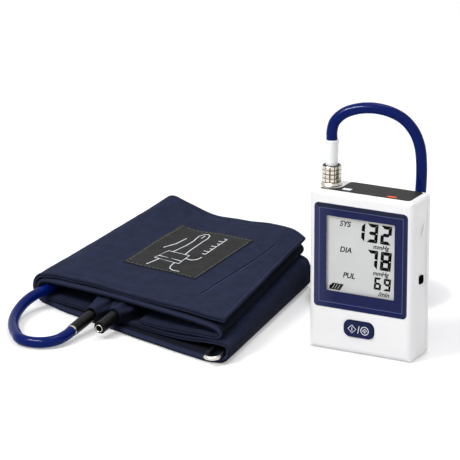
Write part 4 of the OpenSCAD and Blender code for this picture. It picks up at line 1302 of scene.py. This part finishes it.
@dataclass
class ArmCuff:
    """The folded cuff: two cloths round a bladder, its label, stitches, bar and couplings.

    A row of the route holds a distance along the edge, and the fold's height at the near and at the far edge.
    A place on the band is a step along the route, which may lie between rows, and a share of the way across.
    """

    near_w: float = 160.0
    far_w: float = 127.0
    band: float = 146.0
    band_length: float = 622.0
    thickness: float = 2.8
    cloth_wall: float = 0.76
    bladder_w: float = 133.0
    bladder_length: float = 600.0
    bladder_wall: float = 0.32
    rim: float = 1.4
    corner: Flat = (-61.0, -58.0)
    near_angle: float = 164.5
    right_angle: float = 98.0
    far_angle: float = 163.2
    route_w: float = 150.0
    hem: float = 5.0
    hem_s: float = 0.2
    seam: tuple[Flat, Flat] = ((1.77, 0.183), (1.03, 0.8265))
    row_pitch: float = 23.0
    label_w: float = 74.0
    label_h: float = 60.0
    label_wall: float = 0.3
    label_right: tuple[Flat, Flat] = ((2.36, 0.3), (1.88, 0.785))
    label_left: tuple[float, float, float] = (4.46, 0.275, 0.785)
    port_way: Point = (0.0259, 0.98999, 0.1392)
    port_height: float = 10.4
    hose_port_run: float = 100.0
    spare_port_run: float = 85.6
    spare_out: float = 22.0
    route: tuple[Point, ...] = (
        (147, 22.0, 29.8), (134, 22.2, 31.9), (112, 21.9, 31.1), (88, 21.6, 28.8), (60, 20.9, 26.8),
        (32, 19.2, 29.8), (14, 18.0, 31.2), (4.8, 15.8, 26.0), (1.6, 9.8, 15.6), (4.4, 3.9, 5.5),
        (12, 1.7, 2.0), (34, 1.5, 1.5), (62, 1.5, 1.5), (92, 1.5, 1.5), (118, 1.5, 1.5),
        (136, 1.5, 1.5), (146, 1.6, 1.6), (150, 2.9, 2.9), (150.9, 5.6, 6.4), (150.3, 8.0, 12.8),
        (147, 9.4, 16.4), (136, 8.7, 16.9), (122, 6.4, 13.0), (104, 4.9, 8.6), (78, 4.6, 6.0),
        (46, 4.6, 5.6), (24, 4.6, 6.0), (14, 4.6, 7.0), (6.8, 6.0, 10.0), (4.7, 9.6, 14.6),
        (7.4, 13.5, 20.4), (14.5, 15.0, 24.8), (30, 16.1, 25.2), (56, 17.5, 22.6), (84, 18.1, 23.4),
        (112, 18.4, 24.6), (130, 18.2, 24.9), (141, 17.2, 24.4), (144, 14.6, 22.4), (141, 12.4, 20.2),
        (132, 11.4, 19.4), (116, 9.6, 16.0), (100, 8.2, 12.4), (84, 7.9, 10.4),
    )
    skirt: tuple[Flat, ...] = (
        (0.0, -2.2), (5.4, -2.2), (6.6, 0.0), (9.0, 0.0), (10.0, 0.5), (11.0, 4.0), (12.0, 6.5),
        (13.0, 8.5), (14.0, 9.5), (15.0, 9.5), (16.0, 6.5), (17.0, 4.0), (18.0, 2.0), (19.0, 1.0),
        (20.0, 0.0),
    )

    def __post_init__(self) -> None:
        """Works out the edges' directions and the route's last step."""
        self.near_way, self.right_way, self.far_way = (
            Vector((math.cos(math.radians(a)), math.sin(math.radians(a))))
            for a in (self.near_angle, self.right_angle, self.far_angle)
        )
        self.last = len(self.route) - 1

    def build(self) -> None:
        """Makes the cloths, the bladder, the label, the stitches and the gussets, and dresses the rest."""
        dress("chrome", "cuff_bar")
        dress("black", "hose_port", "spare_port", "spare_port_ring")
        dress("metal", "hose_port_ring")
        self.cloths()
        self.bladder()
        self.label()
        self.seam_stitches()
        self.port_loop("hose_port_cloth", self.hose_port_run, 12.5, 3.65)
        self.port_loop("spare_port_cloth", self.spare_port_run, 6.5, 3.85)
        self.spare_rim()

    def line(self, s: float, column: int) -> Vector:
        """Gives the fold line's point for one edge.

        Args:
            s: the step along the route.
            column: 1 for the near edge's heights, 2 for the far edge's.

        Returns:
            Distance along the edge of route_w, and height.
        """
        s = min(max(s, 0.0), float(self.last))
        i = min(int(s), self.last - 1)
        rows = [self.route[min(max(k, 0), self.last)] for k in (i - 1, i, i + 1, i + 2)]
        return curve_point(*(Vector((row[0], row[column])) for row in rows), s - i)

    def place(self, s: float, u: float, off: float) -> Vector:
        """Gives a point of the band.

        Args:
            s: the step along the route.
            u: share of the way from the near edge to the far edge.
            off: distance off the band's middle, outwards where positive.

        Returns:
            The point in millimetres.
        """
        beside, skirt_share = 0.05, 0.4
        ends = []
        for column, scale in ((1, self.near_w / self.route_w), (2, self.far_w / self.route_w)):
            a, b, p = (self.line(step, column) for step in (s - beside, s + beside, s))
            way = Vector(((b.x - a.x) * scale, b.y - a.y)).normalized()
            ends.append((p.x * scale + off * way.y, p.y - off * way.x))
        (near_v, near_z), (far_v, far_z) = ends
        corner = Vector(self.corner)
        near = corner + (self.near_w - near_v) * self.near_way
        near -= self.right_way * self.spread(s) * max(0.0, 1.0 - u / skirt_share) ** 2 / max(1.0 - u, 0.1)
        far = corner + self.band * self.right_way + (self.far_w - far_v) * self.far_way
        return Vector(((1 - u) * near.x + u * far.x, (1 - u) * near.y + u * far.y,
                       (1 - u) * near_z + u * far_z))

    def spread(self, s: float) -> float:
        """Gives how far the band's near edge spreads out at a step of the route.

        Args:
            s: the step along the route.

        Returns:
            The distance in millimetres, less than nothing where the edge is drawn in.
        """
        for (a, low), (b, high) in zip(self.skirt, self.skirt[1:]):
            if a <= s < b:
                t = (s - a) / (b - a)
                return low + (high - low) * t * t * (3 - 2 * t) if low != high else low
        return 0.0

    def creases(self, s: float, u: float) -> float:
        """Gives how far the band is lifted by soft creases.

        Args:
            s: the step along the route.
            u: share of the way across the band.

        Returns:
            The lift in millimetres.
        """
        fade_from, fade_run, step_length = 5.6, 1.4, 24.0
        top = max(0.0, 1.0 - max(0.0, s - fade_from) / fade_run) if s < 7 else 0.0
        x, y = s * step_length, u * self.band
        wave = (math.sin(0.052 * x + 0.031 * y + 0.6) * 0.5 + math.sin(0.11 * x - 0.07 * y + 2.1) * 0.28
                + math.sin(0.19 * x + 0.16 * y) * 0.14)
        pinch = math.sin(0.33 * y + 1.3 * s) * math.sin(0.12 * y + 0.7) * 0.12
        return wave * 0.9 * top + pinch * (1.0 if 6.5 < s < 9.5 else 0.4)

    def cloth_piece(self, name: str, side: int, finish: str, node: str) -> bpy.types.Object:
        """Makes one cloth of the band, its rim curled in to the band's middle.

        Args:
            name: the piece's name.
            side: 1 for the outer cloth, -1 for the one against the arm.
            finish: its finish.
            node: the CAD node that it replaces.

        Returns:
            The piece.
        """
        half, core, groove_depth, groove_w = self.thickness / 2, 0.06, 0.14, 0.7
        stations, across = self.stations(), self.rows()
        bm, order = grid(len(stations), len(across))
        flat = {}
        for number, vert in enumerate(order):
            row, column = divmod(number, len(stations))
            s, run, from_end = stations[column]
            u, from_edge = across[row]
            rim = self.curl(from_end) * self.curl(from_edge)
            groove = groove_depth * math.exp(-(((from_edge - self.hem) / groove_w) ** 2))
            flat[vert] = (run * MM, u * self.band * MM)
            off = side * (core + (half - core - groove) * rim) + self.creases(s, u)
            vert.co = self.place(s, u, off) * MM
        map_cloth(bm, flat)
        bm.normal_update()
        skin = self.place(2.0, 0.5, side * half)
        probe = min(bm.faces, key=lambda f: (f.calc_center_median() - skin * MM).length)
        if probe.normal.dot(skin - self.place(2.0, 0.5, 0.0)) < 0:
            bmesh.ops.reverse_faces(bm, faces=bm.faces)
        cloth = to_object(name, bm, 70.0)
        thicken(cloth, self.cloth_wall, -1.0)
        return settle(cloth, finish, stands_for=(node,))

    def stations(self) -> list[tuple[float, float, float]]:
        """Lists the steps of a cloth's rows with their place along the cloth, closer together at its ends.

        Returns:
            For each row its step, its distance from the start and its distance from the nearer end.
        """
        end, rows_a_step, closer = float(self.last), 6, (0.08, 0.2, 0.4)
        count = self.last * rows_a_step
        steps = [end * i / count for i in range(count + 1)]
        first, last = steps[1], steps[-2]
        steps[1:1] = [first * f for f in closer]
        steps[-1:-1] = [end - (end - last) * f for f in reversed(closer)]
        runs = [0.0]
        for a, b in zip(steps, steps[1:]):
            runs.append(runs[-1] + (self.place(b, 0.5, 0.0) - self.place(a, 0.5, 0.0)).length)
        return [(s, r, min(r, runs[-1] - r)) for s, r in zip(steps, runs)]

    def rows(self) -> list[Flat]:
        """Lists the shares across the band, close together at its rims and hems.

        Returns:
            For each row its share and its distance from the nearer edge.
        """
        near = [0.0, 0.15, 0.4, 0.8, self.rim, 2.4, self.hem - 1.0, self.hem, self.hem + 1.0, 8.5]
        middle = [12.0 + (self.band - 24.0) * i / 22 for i in range(23)]
        places = near + middle + [self.band - d for d in reversed(near)]
        return [(p / self.band, min(p, self.band - p)) for p in places]

    def curl(self, distance: float) -> float:
        """Gives the rounded rim's height share at a distance from the edge."""
        return math.sqrt(max(0.0, 1.0 - (1.0 - min(distance / self.rim, 1.0)) ** 2))

    def cloths(self) -> None:
        for name, side, finish, node in (("cuff_outer", 1, "cloth", "cuff_outer_cloth"),
                                         ("cuff_inner", -1, "lining", "cuff_lining")):
            piece = self.cloth_piece(name, side, finish, node)

    def bladder(self) -> None:
        """Makes the flat bladder between the cloths, half a step short of them at both ends."""
        across, end_s, edge_u, lift = 16, 0.5, 0.045, 0.16
        along = (self.last - 1) * 4
        bm, order = grid(along + 1, across + 1)
        for number, vert in enumerate(order):
            row, column = divmod(number, along + 1)
            s = end_s + (self.last - 1) * column / along
            u = edge_u + (1.0 - 2 * edge_u) * row / across
            vert.co = self.place(s, u, lift + self.creases(s, u)) * MM
        bm.normal_update()
        piece = to_object("cuff_bladder_skin", bm, 70.0)
        thicken(piece, self.bladder_wall, 0.0)
        settle(piece, "bladder", stands_for=("cuff_bladder",))

    def on_label(self, x: float, y: float, off: float) -> Vector:
        """Gives a point on the label.

        Args:
            x: share of the way from its near edge to its far edge.
            y: share of the way from its right edge to its left edge.
            off: distance off the cuff's cloth.

        Returns:
            The point in millimetres.
        """
        (near_s, near_u), (far_s, far_u) = self.label_right
        left_s, left_near_u, left_far_u = self.label_left
        right = (near_s + (far_s - near_s) * x, near_u + (far_u - near_u) * x)
        left = (left_s, left_near_u + (left_far_u - left_near_u) * x)
        s, u = (r + (q - r) * y for r, q in zip(right, left))
        return self.place(s, u, self.thickness / 2 + off + self.creases(s, u))

    def label(self) -> None:
        """Makes the woven label on the top fold, its stitching and a plain pictogram of an arm in a cuff."""
        along, across, lift, pucker = 40, 24, 0.42, 0.06
        bm, order = grid(along + 1, across + 1)
        flat = {}
        for number, vert in enumerate(order):
            j, i = divmod(number, along + 1)
            wave = (pucker * math.sin(i * 1.9) * (j in (0, across))
                    + pucker * math.sin(j * 2.3) * (i in (0, along)))
            vert.co = self.on_label(j / across, i / along, lift + wave) * MM
            flat[vert] = (i / along * self.label_h * MM, j / across * self.label_w * MM)
        map_cloth(bm, flat)
        bm.normal_update()
        if sum(f.normal.z for f in bm.faces) < 0:
            bmesh.ops.reverse_faces(bm, faces=bm.faces)
        piece = to_object("cuff_label_cloth", bm, 70.0)
        thicken(piece, self.label_wall, -1.0)
        settle(piece, "label", stands_for=("cuff_label",))
        self.on_cloth("label_pictogram", self.pictogram(), 0.62, "ink", self.printed)
        self.on_cloth("label_stitches", self.border_stitches(), 0.3, "label_thread", self.printed)

    def printed(self, point: Vector) -> Vector:
        """Lays a flat point of the label's drawing on the label."""
        return self.on_label(point.x / self.label_w, point.z / self.label_h, 0.46 - point.y)

    def sewn(self, point: Vector) -> Vector:
        """Lays a flat point, so far along the route and so far across the band, on the cuff's top."""
        s, u = point.x / self.row_pitch, point.z / self.band
        return self.place(s, u, self.thickness / 2 + 0.02 - point.y + self.creases(s, u))

    def on_cloth(self, name: str, lines: Sequence[Stroke], width: float, finish: str,
                 lay: Callable[[Vector], Vector]) -> None:
        """Makes thin strokes and lays them on the cuff.

        Args:
            name: the piece's name.
            lines: the strokes' points, and whether each closes.
            width: the stroke's width.
            finish: its finish.
            lay: puts a flat point in its place.
        """
        flatness = 0.3
        bm = inked_lines(lines, width, flatness)
        for vert in bm.verts:
            vert.co = lay(vert.co) * MM
        bmesh.ops.recalc_face_normals(bm, faces=bm.faces)
        settle(to_object(name, bm), finish)

    @staticmethod
    def pictogram() -> list[Stroke]:
        """Draws an outstretched arm with a cuff on it, a hose and a tick scale.

        Returns:
            The strokes, in millimetres on the label.
        """
        base, short, tall = 19, 21.5, 23.5
        ticks = (38, 42.7, 47.4, 52, 56.7, 61.4, 66)
        arm_and_cuff = [
            ([(4.5, 18), (4, 23), (6, 27), (11, 29), (16, 29.6)], False),
            ([(31, 31), (40, 32.4), (50, 33), (57, 33.2), (62, 32.8), (67, 34), (69, 36.4), (68, 39),
              (64, 40.4), (59, 40), (55, 39.2), (46, 39.4), (38, 40), (31, 40.6)], False),
            ([(16, 41.8), (10, 43), (4.5, 44.6)], False),
            ([(16, 45.6), (31, 44), (31, 27.6), (16, 26.4)], True),
            ([(20.4, 45), (20.4, 26.8)], False),
            ([(25.4, 27.2), (25.4, 22.5), (28, 19.5), (33, 18.6)], False),
            ([(ticks[0], base), (ticks[-1], base)], False),
            ([(61, 37), (66, 37)], False),
            ([(34, 50), (44, 46.5), (56, 45.5)], False),
        ]
        scale = [([(x, base), (x, tall if i % 2 else short)], False) for i, x in enumerate(ticks)]
        return arm_and_cuff + scale

    def border_stitches(self) -> list[Stroke]:
        """Lists the stitches just inside the label's edge.

        Returns:
            The stitches, in millimetres on the label.
        """
        inset, pitch, stitch = 1.6, 3.4, 2.1
        right, top = self.label_w - inset, self.label_h - inset
        corners = [Vector(c) for c in ((inset, inset), (right, inset), (right, top), (inset, top))]
        sides = zip(corners, corners[1:] + corners[:1])
        return [dash for a, b in sides for dash in self.dashes(a, b, pitch, stitch)]

    def seam_stitches(self) -> None:
        """Sews the slanting line across the top flap and the hem at its end, and lays light dashes beside the
        slanting line as a painted highlight.
        """
        pitch, hem_pitch, hem_stitch, margin = 4.4, 2.6, 1.9, 4.0
        start, end = (Vector((s * self.row_pitch, u * self.band)) for s, u in self.seam)
        # The light dashes set off beside the seam are a painted highlight on its edge.
        aside = Vector((-0.75, -0.3))
        along = self.hem_s * self.row_pitch
        hem = (Vector((along, margin)), Vector((along, self.band - margin)))
        for name, ends, step, stitch, width, finish in (
            ("flap_seam_stitches", (start, end), pitch, 3.7, 0.95, "thread"),
            ("flap_seam_painted_highlight", (start + aside, end + aside), pitch, 3.9, 0.4, "hem_thread_and_painted_highlight"),
            ("flap_hem_stitches", hem, hem_pitch, hem_stitch, 0.5, "hem_thread_and_painted_highlight"),
        ):
            self.on_cloth(name, self.dashes(*ends, step, stitch), width, finish, self.sewn)

    @staticmethod
    def dashes(start: Vector, end: Vector, pitch: float, stitch: float) -> list[Stroke]:
        """Cuts a straight line into stitches.

        Args:
            start: where the line starts.
            end: where it ends.
            pitch: from one stitch's start to the next one's.
            stitch: a stitch's length.

        Returns:
            The stitches.
        """
        way = (end - start).normalized()
        return [([start + way * (i * pitch), start + way * (i * pitch + stitch)], False)
                for i in range(int((end - start).length / pitch))]

    def port_base(self, run: float) -> Vector:
        """Gives where a coupling's axis passes the near edge, by its distance along that edge."""
        return Vector((*(Vector(self.corner) + run * self.near_way), self.port_height))

    def port_loop(self, name: str, run: float, reach: float, r: float) -> None:
        """Makes the cloth gusset that holds a coupling: a ring round it that widens into the band.

        Args:
            name: the CAD node that it replaces.
            run: the coupling's distance along the near edge.
            reach: how far the gusset reaches out along the coupling.
            r: the coupling's radius.
        """
        segments, folds, fold_depth, ring_pitch = 32, 6.0, 0.03, 0.004
        axis = Vector(self.port_way)
        aside = Vector(self.near_way.to_3d()) * -1.0
        up = aside.cross(axis).normalized()
        base = self.port_base(run)
        bm = bmesh.new()
        spots = {}
        rings = []
        for number, (back, half_w, half_h, sink) in enumerate((
            (reach, r + 0.35, r + 0.35, 0.0), (reach - 0.6, r + 0.75, r + 0.75, 0.0),
            (reach * 0.7, r + 0.9, r + 0.7, 0.0), (reach * 0.4, r + 1.8, r + 0.6, 0.1),
            (reach * 0.1, r + 3.4, r + 0.5, 0.2), (-4.0, r + 4.2, r + 0.45, 0.3),
            (-10.0, r + 4.0, r + 0.4, 0.4),
        )):
            ring = bmesh.ops.create_circle(bm, segments=segments, radius=1.0)["verts"]
            for vert in ring:
                x, y = vert.co.x, vert.co.y
                angle = math.atan2(y, x)
                crease = 1.0 + fold_depth * number * math.cos(folds * angle + run)
                spots[vert] = (angle * r * MM, number * ring_pitch)
                beside = base - axis * back + aside * (x * half_w * crease)
                vert.co = (beside + up * (y * half_h * crease - sink)) * MM
            own = set(ring)
            rings.append([e for e in bm.edges if all(v in own for v in e.verts)])
        for a, b in zip(rings, rings[1:]):
            bmesh.ops.bridge_loops(bm, edges=[*a, *b])
        bmesh.ops.recalc_face_normals(bm, faces=bm.faces)
        side = next(iter(bm.faces))
        out = side.calc_center_median() - base * MM
        if side.normal.dot(out - axis * out.dot(axis)) < 0:
            bmesh.ops.reverse_faces(bm, faces=bm.faces)
        map_cloth(bm, spots)
        piece = to_object(name + "_sewn", bm, 60.0)
        thicken(piece, 0.3, 1.0)
        settle(piece, "cloth", stands_for=(name,))

    def spare_rim(self) -> None:
        """Makes the thin bright ring inside the spare coupling's dark mouth."""
        ring_r, wire_r, inside = 2.15, 0.24, 2.1
        axis = Vector(self.port_way)
        mouth = self.port_base(self.spare_port_run) - axis * (self.spare_out + inside)
        bm = bmesh.new()
        profile = bmesh.ops.create_circle(bm, segments=10, radius=wire_r)["verts"]
        bmesh.ops.rotate(bm, cent=CENTRE, matrix=Matrix.Rotation(math.pi / 2, 3, "X"), verts=profile)
        bmesh.ops.translate(bm, vec=(ring_r, 0.0, 0.0), verts=profile)
        bmesh.ops.spin(bm, geom=list(bm.verts) + list(bm.edges), cent=CENTRE, axis=(0, 0, 1), angle=math.tau,
                       steps=40, use_merge=True)
        bmesh.ops.remove_doubles(bm, verts=bm.verts, dist=1e-4)
        bmesh.ops.recalc_face_normals(bm, faces=bm.faces)
        bmesh.ops.transform(bm, matrix=aimed(mouth * MM, axis, "Z") @ Matrix.Scale(MM, 4), verts=bm.verts)
        settle(to_object("spare_port_rim", bm, 60.0), "metal")


def main() -> None:
    """Builds the studio, the hose, the recorder and the cuff in order."""
    logging.basicConfig(level=logging.INFO, format="%(name)s: %(message)s")
    for maker in (Studio(), AirHose(), Recorder(), Display(), StartKey(), ArmCuff()):
        LOG.info("building %s", type(maker).__name__)
        maker.build()


if __name__ == "__main__":
    main()
